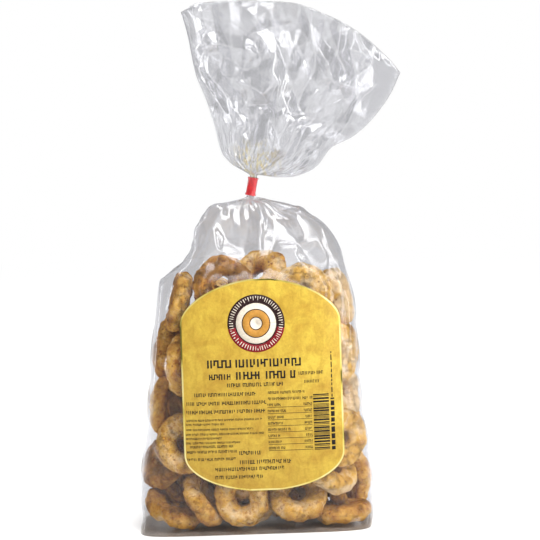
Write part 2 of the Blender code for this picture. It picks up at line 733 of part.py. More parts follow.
def add_band(finish, collection):
    """The band round the neck: a turned sleeve with a small lip at each end, tilted along the neck."""
    inner = NECK_RADIUS + BAND_CLEARANCE
    outer = inner + BAND_THICKNESS
    run = math.dist(NECK_FOOT, NECK_TOP)
    low, high = run * BAND_FOOT_SHARE, run * BAND_TOP_SHARE
    profile = (
        (outer + BAND_LIP * BAND_LIP_ROUNDING, high),
        (outer + BAND_LIP, high - BAND_LIP_RUN),
        (outer, high - BAND_LIP_END),
        (outer, low + BAND_LIP_END),
        (outer + BAND_LIP, low + BAND_LIP_RUN),
        (outer + BAND_LIP * BAND_LIP_ROUNDING, low),
        (inner, low),
        (inner, high),
    )
    bm = bmesh.new()
    points = [bm.verts.new((r * MM, 0.0, z * MM)) for r, z in profile]
    for a, b in zip(points, points[1:] + points[:1]):
        bm.edges.new((a, b))
    mesh = bpy.data.meshes.new("band")
    bm.to_mesh(mesh)
    bm.free()
    band = add_object("band", mesh, finish, collection)
    turn = band.modifiers.new("turned", "SCREW")
    turn.steps = BAND_STEPS
    turn.render_steps = BAND_STEPS
    turn.use_merge_vertices = True
    turn.merge_threshold = 0.00001
    band.location = (NECK_FOOT[0] * MM, 0.0, NECK_FOOT[1] * MM)
    band.rotation_euler[1] = math.atan2(NECK_TOP[0] - NECK_FOOT[0], NECK_TOP[1] - NECK_FOOT[1])
    return band


def build():
    """Builds the bag, its band and its label."""
    for obj in list(bpy.data.objects):
        bpy.data.objects.remove(obj)
    pack = bpy.data.collections.new("bag_of_ring_biscuits")
    bpy.context.scene.collection.children.link(pack)
    rings = bpy.data.collections.new("rings")
    bpy.context.scene.collection.children.link(rings)
    bag = add_object("bag", bag_mesh(), material("film_and_biscuits", (0.66, 0.50, 0.28), 0.45), pack)
    ring_objects(rings)
    join_rings(bag, rings)
    add_label(material("label_paper", (0.86, 0.62, 0.14), 0.5), pack)
    add_band(material("red_band", (0.70, 0.02, 0.03), 0.35), pack)


build()
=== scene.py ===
import math
import random

import bmesh
import bpy
import numpy as np
from bpy.props import FloatProperty, FloatVectorProperty, IntProperty, PointerProperty
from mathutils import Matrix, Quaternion, Vector, geometry
from mathutils.bvhtree import BVHTree


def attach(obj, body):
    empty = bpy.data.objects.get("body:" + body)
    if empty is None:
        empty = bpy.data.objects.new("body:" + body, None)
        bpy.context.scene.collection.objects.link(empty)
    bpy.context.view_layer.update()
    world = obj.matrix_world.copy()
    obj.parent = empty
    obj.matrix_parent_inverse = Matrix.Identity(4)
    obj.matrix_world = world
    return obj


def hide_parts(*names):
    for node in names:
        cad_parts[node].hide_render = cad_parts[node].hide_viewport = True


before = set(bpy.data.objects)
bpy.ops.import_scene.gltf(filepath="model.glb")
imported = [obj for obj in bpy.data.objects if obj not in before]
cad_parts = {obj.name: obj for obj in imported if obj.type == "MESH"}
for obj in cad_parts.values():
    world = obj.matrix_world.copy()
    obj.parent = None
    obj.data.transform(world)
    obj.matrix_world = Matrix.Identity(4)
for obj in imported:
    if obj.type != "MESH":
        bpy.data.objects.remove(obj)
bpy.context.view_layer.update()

bl_info = {
    "name": "Bag of Ring Biscuits",
    "version": (1, 0, 0),
    "blender": (4, 5, 0),
    "location": "3D View > Sidebar > Biscuit Bag",
    "description": "Dresses the packed bag with film, ring biscuits, a printed label and a neck tie",
    "category": "Mesh",
}

BODY = "root"
MM = 0.001

# Ring biscuits
RING_COUNT = 58
RING_RADIUS = 11.6
TUBE_RADIUS = 6.9
SMALLEST_RING = 0.90
LARGEST_RING = 1.05
RING_SEED = 17

# Film body, from the base to the neck: height, left edge, right edge, half depth, squareness
BODY_OUTLINE = (
    (0.0, -68.6, 66.4, 33.0, 7.0),
    (10.0, -68.6, 69.0, 34.2, 5.4),
    (25.0, -69.4, 69.4, 36.0, 4.0),
    (40.0, -67.8, 68.6, 37.2, 4.0),
    (60.0, -64.4, 65.7, 37.6, 4.0),
    (85.0, -62.0, 63.9, 37.0, 4.0),
    (110.0, -59.3, 62.9, 35.4, 4.0),
    (130.0, -56.5, 61.8, 32.6, 4.0),
    (146.0, -54.2, 58.6, 29.6, 3.6),
    (154.0, -45.8, 57.2, 27.6, 3.2),
    (159.0, -39.8, 56.2, 26.2, 3.0),
    (168.0, -36.2, 53.2, 23.4, 2.8),
    (178.0, -33.0, 47.4, 19.4, 2.6),
    (185.5, -29.6, 38.0, 15.2, 2.4),
    (190.5, -22.6, 27.8, 10.4, 2.2),
    (192.0, -15.0, 18.6, 7.0, 2.1),
    (192.8, -6.0, 9.6, 4.2, 2.0),
)

# Neck
NECK_RADIUS = 2.0
NECK_FOOT = (1.8, 193.2)
NECK_TOP = (4.3, 205.4)

# Loose film above the neck, as seen from the front: side folds and mouth, x and height
FAN_LEFT = (
    (2.0, 206.4),
    (-3.5, 209.2),
    (-8.7, 212.9),
    (-13.7, 219.2),
    (-17.7, 236.2),
    (-22.4, 252.0),
    (-27.2, 264.9),
    (-31.5, 289.3),
    (-34.6, 301.5),
)
FAN_RIGHT = (
    (6.6, 205.8),
    (17.3, 204.0),
    (25.4, 203.8),
    (36.6, 206.7),
    (41.2, 209.6),
    (50.5, 220.4),
    (61.7, 225.6),
    (70.9, 232.5),
    (85.0, 249.6),
    (91.4, 262.3),
)
FAN_MOUTH = (
    (-34.6, 301.5),
    (-23.3, 306.6),
    (-0.2, 307.0),
    (28.7, 304.6),
    (50.4, 296.4),
    (67.3, 286.3),
    (85.3, 269.9),
    (91.4, 262.3),
)
FAN_BLEND_SHARE = 0.10
FAN_FIRST_RISE = 14.0
FAN_LIFT_POWER = 1.6
FAN_HALF_DEPTH = 15.0
FAN_LEAST_HALF_DEPTH = 0.9
FAN_DEPTH_POWER = 0.62
FAN_SIDE_POWER = 0.65
FAN_SWAY = 6.5
FAN_SWAY_TURNS = 1.15
FAN_SWAY_START = 0.12
FAN_PLEAT = 3.4
FAN_PLEAT_POWER = 0.8
FAN_PLEAT_SIDE_RISE = 2.2

# Folds across the fan: sharp and round ones, how unevenly they lie, and how the two layers differ
SHARP_FOLDS = 6.5
SHARP_WEIGHT = 0.75
SHARP_SHIFT = 0.37
ROUND_FOLDS = 3.1
ROUND_SHIFT = 0.17
UNEVEN_FOLDS = 1.7
UNEVEN_BY = 0.035
UNEVEN_SHIFT = 0.31

# Band round the neck
BAND_CLEARANCE = 0.3
BAND_THICKNESS = 0.55
BAND_FOOT_SHARE = 0.07
BAND_TOP_SHARE = 0.91

# Label
LABEL_CENTRE_X = 5.4
LABEL_LOW = 26.4
LABEL_HALF_WIDTH = 46.0
LABEL_BOTTOM_ARC = 22.0
LABEL_STRAIGHT = 75.0
LABEL_TOP_ARC = 25.0
LABEL_TOP_POWER = 1.8
LABEL_GAP = 0.7
LABEL_THICKNESS = 0.5
LABEL_END_TURN = 1.45
LABEL_BLUNT_END = 0.25

# Rings that are placed: x, height, the way the ring's axis points, how far behind the film it lies
SHOWN_RINGS = (
    (-46.0, 131.0, (0.92, -0.20, -0.33), 0.0),
    (-48.0, 95.5, (0.93, -0.35, 0.10), 0.0),
    (-54.0, 101.0, (0.99, 0.10, 0.10), 26.0),
    (-53.0, 74.0, (0.85, -0.50, 0.10), 0.0),
    (-44.5, 51.0, (0.25, -0.93, 0.20), 0.0),
    (-55.5, 36.0, (-0.45, -0.55, 0.70), 8.0),
    (-50.0, 10.5, (0.30, -0.45, 0.85), 0.0),
    (-35.0, 17.0, (0.78, -0.35, 0.50), 0.0),
    (-9.7, 20.5, (0.05, -0.95, 0.30), 0.0),
    (29.7, 15.0, (0.05, -0.64, 0.77), 0.0),
    (47.0, 29.0, (0.45, -0.35, 0.82), 3.0),
    (53.5, 9.0, (0.10, -0.25, 0.96), 0.0),
    (60.5, 21.0, (0.98, 0.10, 0.15), 24.0),
    (55.5, 53.5, (0.62, -0.77, 0.10), 0.0),
    (53.5, 80.0, (0.93, -0.30, 0.15), 0.0),
    (53.5, 102.5, (0.93, -0.36, 0.00), 0.0),
    (57.0, 106.0, (0.99, 0.10, 0.10), 28.0),
    (41.0, 134.0, (0.50, -0.60, 0.60), 0.0),
    (52.5, 127.5, (0.90, -0.40, 0.10), 8.0),
    (-16.5, 142.0, (0.30, -0.85, 0.40), 0.0),
    (3.0, 143.0, (-0.30, -0.50, 0.80), 10.0),
    (21.0, 137.0, (0.20, -0.55, 0.80), 6.0),
)
REST_COLUMNS = ((-38, 10), (-13, 14), (13, 14), (38, 10), (-26, -6), (0, 0), (26, -6))
REST_LEVELS = (12.0, 142.0)
REST_STRAY = 8.0

# Settling of the rings: the placed ones take their places, then the rest grow and sink around them
BEADS = 12
PLACING_STEPS = 400
GROWING_STEPS = 500
SINKING_STEPS = 400
QUIET_STEPS = 300
PLACING_SIZE = 0.02
FIRST_SIZE = 0.35
FIRST_SHOWN_SIZE = 0.5
SINK_PER_STEP = 0.08
PULL = 0.10
PULL_IN_DEPTH = 0.10
SHOWN_MOBILITY = 0.03
CORRECTION = 1.6
FILM_WEIGHT = 4.0
FILM_CLEARANCE = 0.5
NEIGHBOUR_STEPS = 6
NEIGHBOUR_REACH = 2.5
LABEL_HEIGHT = LABEL_BOTTOM_ARC + LABEL_STRAIGHT + LABEL_TOP_ARC

# Film sheets
BODY_COLUMNS = 256
FAN_COLUMNS = 400
FAN_ROWS = 140
FILM_PLAY = 0.45
FILM_SAG = 3.2
TAUT_STEPS = 260
TAUT_PULL = 0.012
BODY_ROWS = ((0.0, 150.0, 92), (151.4, 186.5, 28))
TOP_ROWS = (187.6, 188.6, 189.5, 190.3, 191.0, 191.6, 192.1, 192.5, 192.8)
BODY_TOP = 192.9
BASE_SHARES = (0.0, 0.12, 0.3, 0.5, 0.7, 0.86, 0.95)
BODY_NECK_SHARES = (0.0, 0.12, 0.3, 0.5)
FAN_NECK_SHARES = (0.45, 0.6, 0.8, 1.0)
WELD = 0.00001

# How the film sinks between the biscuits: passes, where the sides begin, its ease at base and label
ROOM_PASSES = 9
ROOM_STEP = 0.8
SIDE_FROM = 0.55
SIDE_RUN = 0.4
SIDE_LOSS = 0.55
BASE_EASE = 10.0
WRINKLE_EASE = 6.0
LABEL_EASE = 4.0
LABEL_END_WEIGHT = 1.6
EMPTY_FROM = 150.0
EMPTY_RUN = 14.0
TAUT_START = 1.0
LEAST_ROOM = 0.22

# Crumples of the body: facets across and up with their seed, and the weights of each kind
FACET_HEIGHT = 195.0
BODY_FACETS = ((17, 8, 5), (44, 19, 6))
TAUT_WEIGHTS = (0.9, 0.35, 0.4)
SHOULDER_WEIGHTS = (1.2, 4.8, 1.1, 1.6)
SHOULDER_FROM = 147.0
SHOULDER_RUN = 22.0
GATHER_FROM = 168.0
GATHER_RUN = 20.0
GATHER_DEPTH = 11.0

# Pleats of the shoulders and near the neck: how many, phase, weight and way of their drift
PLEAT_DRIFT = ((0.012, 3, 0.2), (0.006, 7, 0.6))
SHOULDER_PLEATS = ((9, 0.35, 0.7, 1), (5, 0.1, 0.5, -1))
GATHER_PLEATS = ((30, 0.0, 0.35, 1), (17, 0.3, 0.6, -1))
NECK_PLEATS = 20
NECK_PLEAT_DEPTH = 0.09

# Crumples of the fan: facets across and up with the seeds of front and back, and their weights
FAN_ROW_POWER = 1.15
FAN_FIRST_ROW = 0.004
FAN_FOLD_WEIGHT = 0.55
FAN_EDGE_RISE = 3.0
FAN_LARGE = (8, 7, 4, 21)
FAN_SMALL = (17, 17, 9, 23)
FAN_NARROW = (30, 30, 5, 25)
FAN_BROAD = (15, 15, 5, 27)
FAN_LARGE_WEIGHT = 7.5
FAN_SMALL_WEIGHT = 2.3
FAN_FINE_PLEATS = (0.4, 19, 0.2)
FAN_DRIFT = (0.03, 2.3, 0.1, 0.012, 7.1)
FAN_BROAD_WEIGHT = 1.9
FAN_CREASE_WEIGHT = 1.4
NARROW_BAND = (0.12, 0.16)
BROAD_BAND = (0.34, 0.22)
FAN_LOOSE_AT = 0.45
FAN_MOST_SHARE = 0.92

# Creases that show on the front: two ends as x and height, how far the ridge stands out, and its reach
FAN_CREASES = (
    (-28.4, 302.3, -22.1, 239.0, 2.2, 6.0),
    (-16.9, 303.1, -11.8, 267.4, -2.8, 7.0),
    (-16.5, 283.1, 4.7, 278.4, 3.2, 7.0),
    (7.7, 281.1, 11.4, 272.4, -2.6, 6.0),
    (-10.2, 264.5, 10.8, 254.0, 3.2, 8.0),
    (60.3, 289.1, 67.5, 238.9, 4.0, 9.0),
    (48.0, 282.7, 59.0, 265.1, -3.4, 8.0),
    (65.4, 285.0, 83.7, 261.4, 3.4, 8.0),
    (74.7, 267.4, 84.0, 252.0, 2.6, 6.0),
    (34.3, 303.1, 50.3, 262.5, 4.0, 10.0),
    (16.8, 295.1, 32.4, 242.9, -4.0, 10.0),
    (-1.9, 254.4, 9.9, 226.4, 3.2, 7.0),
    (78.8, 250.0, 58.0, 230.5, 2.6, 7.0),
)
BODY_CREASES = (
    (20.9, 160.9, 54.8, 142.4, 2.6, 9.0),
    (31.5, 134.5, 53.7, 145.4, 1.6, 6.0),
    (-27.4, 174.0, -9.6, 157.9, 2.6, 8.0),
    (-51.2, 151.8, -30.3, 158.6, 1.8, 6.0),
    (63.1, 31.3, 54.0, 16.9, 1.2, 5.0),
    (-50.3, 22.8, -38.8, 20.0, 1.0, 4.0),
    (30.2, 183.6, 46.6, 156.0, 2.6, 9.0),
    (-18.4, 185.2, -28.0, 158.5, 2.6, 8.0),
    (8.7, 190.1, 5.3, 157.4, 2.2, 8.0),
)

# Biscuit mesh
RING_STEPS = 84
TUBE_STEPS = 36
RING_FLOOR = 0.3
RING_WELD = 0.01

# Uneven biscuits: the joint where the ends overlap, waves of tube and ring, underside and relief
JOINT_PINCH = (-0.10, 0.10)
JOINT_BULGE = (0.22, 0.26)
JOINT_DIP = (-0.35, 0.3)
PINCH_DEPTH = (0.05, 0.13)
BULGE_HEIGHT = (0.02, 0.06)
BULGE_OUT = (-0.5, 1.0)
END_LIFT = 0.9
DIP_SHARE = 0.6
TUBE_SHARE = 0.965
TUBE_WAVES = (0.045, 0.03)
RING_WAVES = (0.045, 0.02)
FLATTEST = 0.93
UNDERSIDE = 0.72
UNDERSIDE_ROUNDING = 0.35
RELIEF = ((11.0, 12), (5.0, 14), (2.2, 16))
RELIEF_DEPTHS = (0.46, 0.34, 0.15)
RELIEF_SINK = 0.30
BAKE_MIDDLE = 0.42
BAKE_WEIGHTS = (0.34, 0.16, 0.10, 0.2)

# Broken bits in the gaps between the biscuits, deep inside the pack
BIT_STEP = 3.0
BIT_LEAST = 2.1
BIT_MOST = 8.5
BIT_COUNT = 300
BIT_BOX = ((-66.0, 67.0), (-9.0, 15.0), (4.0, 152.0))
BIT_COVER = 15.0
BIT_DEPTH = 6.0
BIT_SHAPE = (1.35, 0.95, 0.80)
BIT_GROWTH = 1.3
BIT_FLOOR_ROOM = 2.1
BIT_FLOOR = 0.6
BIT_FLATS = 5
BIT_CUT = 0.62
BIT_CUT_TO = 0.64
BIT_BAKE = (0.35, 0.9)

# Seam down the back of the film
SEAM_HALF_WIDTH = 4.5
SEAM_LIFT = 0.25
SEAM_SPAN = (5.0, 154.0)

# Camera, fitted to the photograph
CAMERA_TARGET = (0.0120, 0.0, 0.1498)
CAMERA_DISTANCE = 1.3
CAMERA_ELEVATION = 6.0
CAMERA_ROLL = -1.9
CAMERA_LENS = 148.0

# Label mesh, the lift of each layer of ink over the paper, and how the print's strokes vary
LABEL_GRID = (150, 90)
LABEL_SPREAD = 1.35
INK_DEPTH = 0.00004
INK_LIFT = 0.05
BAR_STEPS = (3.0, 4.0)
DISC_STEP = 4.0
GROUP_LENGTH = (2.0, 5.0)
GROUP_GAP = 0.55
STROKE_STEP = (0.38, 0.55)
SHORT_STROKES = 0.35
CROSS_STROKES = 0.5
TITLE_WEIGHT = 0.21
TEXT_WEIGHT = 0.2

# Print: left end, right end, height of the middle and bar height, in millimetres
TITLE_ROWS = (
    (-25.7, 28.2, 100.6, 4.6),
    (-24.9, -12.6, 93.2, 3.2),
    (-9.4, 24.6, 93.6, 4.4),
)
TEXT_ROWS = (
    (26.4, 40.3, 94.0, 1.9),
    (29.5, 37.7, 89.1, 1.7),
    (-14.7, 17.5, 88.3, 2.2),
    (-33.6, 1.4, 83.1, 2.1),
    (-38.3, 7.4, 78.1, 2.1),
    (-38.5, 6.5, 73.2, 2.1),
    (-38.7, 4.6, 68.5, 1.2),
    (-39.0, -17.2, 66.1, 1.2),
    (-39.1, -0.3, 63.1, 1.2),
    (-39.2, 5.5, 60.4, 1.2),
    (-39.3, -18.7, 58.0, 1.2),
    (-39.4, -8.4, 55.4, 1.2),
    (-37.2, -12.5, 53.2, 1.5),
    (-39.0, -9.8, 50.2, 1.6),
    (-9.0, 3.4, 49.0, 2.2),
    (-39.0, -10.2, 45.8, 1.6),
    (-8.9, 20.4, 43.6, 2.3),
    (-23.1, 16.3, 39.7, 2.1),
    (-23.2, 4.1, 35.0, 2.1),
    (8.5, 29.7, 83.4, 1.5),
    (8.4, 33.8, 79.8, 1.6),
)
TABLE_LEFT = 8.0
TABLE_RIGHT = 33.4
TABLE_TOP = 75.5
TABLE_STEP = 3.58
TABLE_ROWS = 8
STRIPES = (34.2, 43.2, 49.4, 81.6)
STRIPE_COLUMN = (43.9, 46.6, 49.0, 79.0)
SIDE_COLUMN = (44.6, 45.8, 79.5, 105.5)
MEDALLION = (3.0, 123.1)
MEDALLION_RADIUS = 16.4
PRINT_SEED = 7
TABLE_WORDS = (4.5, 13.0)
TABLE_FIGURES = (3.6, 5.0)
TABLE_WORD_HEIGHT = 1.5
TABLE_LIFT = 0.8
TABLE_RULE = (0.75, 0.5)
STRIPE_THICKNESSES = (0.35, 0.35, 0.7, 1.05)
STRIPE_GAPS = (0.35, 0.35, 0.7)
BLOCK_HEIGHTS = (1.2, 3.4)
BLOCK_MARGIN = 0.3
BLOCK_GAP = 0.8

# Rings of the round mark: inner and outer share of its radius, start and end in degrees, ink and lift
MARK_RINGS = (
    (0.0, 0.74, 0, 360, 2, 0.05),
    (0.74, 1.0, -10, 190, 0, 0.05),
    (0.74, 1.0, 190, 350, 1, 0.05),
    (0.70, 0.74, 0, 360, 0, 0.06),
    (0.20, 0.50, 0, 360, 0, 0.09),
    (0.23, 0.47, 0, 360, 3, 0.13),
)
MARK_HOLE = 0.01
RIM_BLOCKS = (2.2, 4.2)
RIM_STARTS = (0.80, 0.80, 0.87)
RIM_END = 0.94
RIM_LIFT = 0.09
RIM_GAP = 2.4


def hermite_at(knots, values, at):
    """A smooth curve through values at knots that doesn't overshoot between them."""
    last = len(knots) - 1
    at = min(max(at, knots[0]), knots[last])
    i = max(k for k in range(last) if knots[k] <= at)
    slopes = [(values[k + 1] - values[k]) / (knots[k + 1] - knots[k]) for k in range(last)]

    def tangent(k):
        if k in (0, last):
            return slopes[min(k, last - 1)]
        if slopes[k - 1] * slopes[k] <= 0.0:
            return 0.0
        return 2.0 * slopes[k - 1] * slopes[k] / (slopes[k - 1] + slopes[k])

    width = knots[i + 1] - knots[i]
    t = (at - knots[i]) / width
    return (
        (2 * t**3 - 3 * t**2 + 1) * values[i]
        + (t**3 - 2 * t**2 + t) * width * tangent(i)
        + (3 * t**2 - 2 * t**3) * values[i + 1]
        + (t**3 - t**2) * width * tangent(i + 1)
    )


def body_section(height):
    """Left edge, right edge, half depth and squareness of the film at a height."""
    knots = [row[0] for row in BODY_OUTLINE]
    return [hermite_at(knots, [row[c] for row in BODY_OUTLINE], height) for c in (1, 2, 3, 4)]


def curve_at(points, share):
    """A point on the smooth curve through points, at a share of its length."""
    along = [0.0]
    for a, b in zip(points, points[1:]):
        along.append(along[-1] + math.dist(a, b))
    knots = [x / along[-1] for x in along]
    return [hermite_at(knots, [p[c] for p in points], share) for c in (0, 1)]


def front_depth(x, height):
    """How far forward the smooth film reaches at x on the front."""
    left, right, depth, power = body_section(height)
    across = abs((x - (left + right) / 2) / ((right - left) / 2))
    return depth * (1.0 - min(across, 0.999) ** power) ** (1.0 / power)


def label_half_width(height):
    """Half the label's width at a height above its lowest point, 0 past its ends."""
    if height < LABEL_BOTTOM_ARC:
        up = 1.0 - height / LABEL_BOTTOM_ARC
        return LABEL_HALF_WIDTH * math.sqrt(max(0.0, 1.0 - up * up))
    top = height - LABEL_BOTTOM_ARC - LABEL_STRAIGHT
    if top <= 0.0:
        return LABEL_HALF_WIDTH
    up = min(1.0, top / LABEL_TOP_ARC)
    return LABEL_HALF_WIDTH * (1.0 - up**LABEL_TOP_POWER) ** (1.0 / LABEL_TOP_POWER)


def turned(vector, spin):
    """The cross product of two arrays of vectors, worked out one component at a time."""
    ax, ay, az = vector[..., 0], vector[..., 1], vector[..., 2]
    bx, by, bz = spin[..., 0], spin[..., 1], spin[..., 2]
    return np.stack((ay * bz - az * by, az * bx - ax * bz, ax * by - ay * bx), axis=-1)


def length_of(vectors):
    """Lengths of an array of vectors."""
    squares = vectors * vectors
    return np.sqrt(squares[..., 0] + squares[..., 1] + squares[..., 2])


def bag_limits():
    """Heights, centres, half widths and half depths of the film, one for each millimetre of height."""
    heights = [float(h) for h in range(0, 193)]
    rows = [body_section(h) for h in heights]
    centre = [round((r[0] + r[1]) / 2, 6) for r in rows]
    width = [round((r[1] - r[0]) / 2, 6) for r in rows]
    depth = [round(r[2], 6) for r in rows]
    return [np.array(column) for column in (heights, centre, width, depth)]


def film_push(beads, radius, limits):
    """How far each bead has to move to lie inside the film."""
    heights, centres, widths, depths = limits
    centre = np.interp(beads[:, 2], heights, centres)
    width = np.interp(beads[:, 2], heights, widths) - radius - FILM_CLEARANCE
    depth = np.interp(beads[:, 2], heights, depths) - radius - FILM_CLEARANCE
    u = (beads[:, 0] - centre) / width
    v = beads[:, 1] / depth
    u, v = u * u, v * v
    reach = np.sqrt(np.sqrt(u * u + v * v))
    share = np.minimum(1.0, 1.0 / np.maximum(reach, 0.01)) - 1.0
    floor = np.maximum(radius + FILM_CLEARANCE - beads[:, 2], 0.0)
    return np.stack(((beads[:, 0] - centre) * share, beads[:, 1] * share, floor), axis=-1)


def unit(vector):
    """The vector's direction, rounded so that it is the same on every machine."""
    size = math.sqrt(sum(c * c for c in vector))
    return [round(c / size, 6) for c in vector]


def first_places(sizes, rng):
    """Where each ring starts and the way its axis points: the shown rings first, then the rest."""
    places, axes = [], []
    for size, (x, height, axis, behind) in zip(sizes, SHOWN_RINGS):
        axis = unit(axis)
        reach = TUBE_RADIUS + RING_RADIUS * math.sqrt(1.0 - axis[1] ** 2)
        places.append([x, round(reach * size + behind - front_depth(x, height), 6), height])
        axes.append(axis)
    rest = RING_COUNT - len(SHOWN_RINGS)
    layers = math.ceil(rest / len(REST_COLUMNS))
    low, high = REST_LEVELS
    for k in range(rest):
        x, y = REST_COLUMNS[k % len(REST_COLUMNS)]
        level = low + (high - low) * (k // len(REST_COLUMNS)) / layers
        stray_x, stray_y = REST_STRAY * (rng.random() - 0.5), REST_STRAY * (rng.random() - 0.5)
        places.append([x + stray_x, y + stray_y, level])
        axes.append(unit([rng.random() - 0.5 for _ in range(3)]))
    return np.array(places), np.array(axes)


def ring_frames(axes):
    """Two directions across each ring's plane."""
    lean = np.where(np.abs(axes[:, 2:3]) < 0.8, [[0.0, 0.0, 1.0]], [[0.0, 1.0, 0.0]])
    across = turned(lean, axes)
    across = across / length_of(across)[:, None]
    return across, turned(axes, across)


def touching_beads(beads, places, radii, tubes):
    """The pairs of beads, from different rings, that touch or soon may."""
    reach = radii + tubes
    apart = length_of(places[:, None, :] - places[None, :, :])
    one, two = np.nonzero(np.triu(apart < reach[:, None] + reach[None, :] + NEIGHBOUR_REACH, 1))
    grid = beads.reshape(RING_COUNT, BEADS, 3)
    gaps = length_of(grid[one][:, :, None, :] - grid[two][:, None, :, :])
    pair, a, b = np.nonzero(gaps < (tubes[one] + tubes[two])[:, None, None] + NEIGHBOUR_REACH)
    return one[pair] * BEADS + a, two[pair] * BEADS + b


def part_rings(places, arms, tubes, owner, pairs, mobility, limits):
    """How far each ring has to move and turn to come free of its neighbours and the film."""
    first, second = pairs
    beads = places[owner] + arms
    tube = tubes[owner]
    gap = beads[first] - beads[second]
    distance = np.maximum(length_of(gap), 0.001)
    overlap = np.maximum(tube[first] + tube[second] - distance, 0.0)
    share = mobility[owner[first]] / (mobility[owner[first]] + mobility[owner[second]])
    shove = gap * (overlap / distance)[:, None]
    wall = film_push(beads, tube, limits)
    weight = np.zeros(RING_COUNT)
    moved, spun = np.zeros((RING_COUNT, 3)), np.zeros((RING_COUNT, 3))
    pushes = (
        (first, shove * share[:, None], overlap),
        (second, shove * (share - 1.0)[:, None], overlap),
        (np.arange(len(beads)), wall, FILM_WEIGHT * length_of(wall)),
    )
    for bead, push, depth in pushes:
        push = push * depth[:, None]
        torque = turned(arms[bead], push)
        weight += np.bincount(owner[bead], weights=depth, minlength=RING_COUNT)
        for c in range(3):
            moved[:, c] += np.bincount(owner[bead], weights=push[:, c], minlength=RING_COUNT)
            spun[:, c] += np.bincount(owner[bead], weights=torque[:, c], minlength=RING_COUNT)
    weight = np.maximum(weight, 1e-9)[:, None]
    return CORRECTION * moved / weight, CORRECTION * spun / weight


def settle_rings():
    """Places, cross directions, axes and sizes of the rings, packed in the bag.

    Each ring is a loop of beads that push the others and the film. Only sums, products and square roots are
    used, in a fixed order, so that the result is the same on every machine.
    """
    rng = random.Random(RING_SEED)
    spread = LARGEST_RING - SMALLEST_RING
    sizes = [round(SMALLEST_RING + spread * rng.random(), 6) for _ in range(RING_COUNT)]
    places, axes = first_places(sizes, rng)
    sizes = np.array(sizes)
    shown = len(SHOWN_RINGS)
    is_shown = np.arange(RING_COUNT) < shown
    wanted, wanted_axes = places[:shown].copy(), axes[:shown].copy()
    pull = np.array((PULL, PULL * PULL_IN_DEPTH, PULL))
    turns = [math.tau * k / BEADS for k in range(BEADS)]
    cosines = np.array([round(math.cos(t), 9) for t in turns])[None, :, None]
    sines = np.array([round(math.sin(t), 9) for t in turns])[None, :, None]
    owner = np.repeat(np.arange(RING_COUNT), BEADS)
    limits = bag_limits()
    across, up = ring_frames(axes)
    steps = PLACING_STEPS + GROWING_STEPS + SINKING_STEPS + QUIET_STEPS
    for step in range(steps):
        placing = step < PLACING_STEPS
        grown = min(1.0, max(0.0, step - PLACING_STEPS) / GROWING_STEPS)
        shown_size = min(1.0, FIRST_SHOWN_SIZE + step / PLACING_STEPS)
        rest_size = PLACING_SIZE if placing else FIRST_SIZE + (1.0 - FIRST_SIZE) * grown
        scale = sizes * np.where(is_shown, shown_size, rest_size)
        mobility = np.where(is_shown & (not placing), SHOWN_MOBILITY, 1.0)
        radii, tubes = RING_RADIUS * scale, TUBE_RADIUS * scale
        moving = step < steps - QUIET_STEPS
        if moving:
            places[:shown] += pull * (wanted - places[:shown])
            places[shown:, 2] -= 0.0 if placing else SINK_PER_STEP
        ways = across[:, None, :] * cosines + up[:, None, :] * sines
        arms = (ways * radii[:, None, None]).reshape(-1, 3)
        if step % NEIGHBOUR_STEPS == 0:
            pairs = touching_beads(places[owner] + arms, places, radii, tubes)
        moved, spin = part_rings(places, arms, tubes, owner, pairs, mobility, limits)
        places += moved
        spin = spin / (radii * radii)[:, None]
        if moving:
            spin[:shown] += PULL * turned(axes[:shown], wanted_axes)
        axes = axes + turned(spin, axes)
        across = across + turned(spin, across)
        axes = axes / length_of(axes)[:, None]
        up = turned(axes, across)
        up = up / length_of(up)[:, None]
        across = turned(up, axes)
    return places, across, axes, sizes


def eased(value):
    """Eases an array from 0 to 1."""
    value = np.clip(value, 0.0, 1.0)
    return value * value * (3.0 - 2.0 * value)


def fold(turns):
    """A sharp wave from -1 to 1 with one fold to a turn."""
    return 1.0 - 4.0 * np.abs(turns - np.floor(turns) - 0.5)


def ripple(points, wavelength, count, rng):
    """A smooth uneven field over points in space, about -1 to 1."""
    total = np.zeros(points.shape[:-1])
    for _ in range(count):
        way = np.array([rng.gauss(0.0, 1.0) for _ in range(3)])
        way *= math.tau / (wavelength * rng.uniform(0.7, 1.4) * math.sqrt(float(way @ way)))
        total += np.sin(points @ way + rng.uniform(0.0, math.tau))
    return total / math.sqrt(count)


def facets(across, up, columns, rows, seed, wraps=False):
    """Heights from -1 to 1 of flat, sharp-edged facets, read at across and up, both 0 to 1."""
    rng = random.Random(seed)
    spots = []
    for j in range(-1, rows + 2):
        for i in range(columns if wraps else columns + 1):
            x = (i + 0.45 * rng.uniform(-1, 1) + 0.5 * (j % 2)) / columns
            y = (j + 0.42 * rng.uniform(-1, 1)) / rows
            z = rng.uniform(-1, 1)
            spots.append((x, y, z))
            if wraps:
                spots += [(x - 1.0, y, z), (x + 1.0, y, z)]
            elif i == 0:
                spots.append((x - 1.5 / columns, y, z))
            elif i == columns:
                spots.append((x + 1.0 / columns, y, z))
    plan = [Vector((x, y)) for x, y, _z in spots]
    verts, _edges, faces, origins, _eo, _fo = geometry.delaunay_2d_cdt(plan, [], [], 0, 1e-7)
    solid = [Vector((v.x, v.y, spots[o[0]][2])) for v, o in zip(verts, origins)]
    tree = BVHTree.FromPolygons(solid, faces)
    down = Vector((0.0, 0.0, -1.0))
    found = []
    for x, y in zip(across.ravel(), up.ravel()):
        hit = tree.ray_cast(Vector((x, y, 3.0)), down)[0]
        if hit is None:
            hit = tree.ray_cast(Vector((x + 1e-4, y + 1e-4, 3.0)), down)[0]
        found.append(hit.z if hit else 0.0)
    return np.array(found).reshape(across.shape)


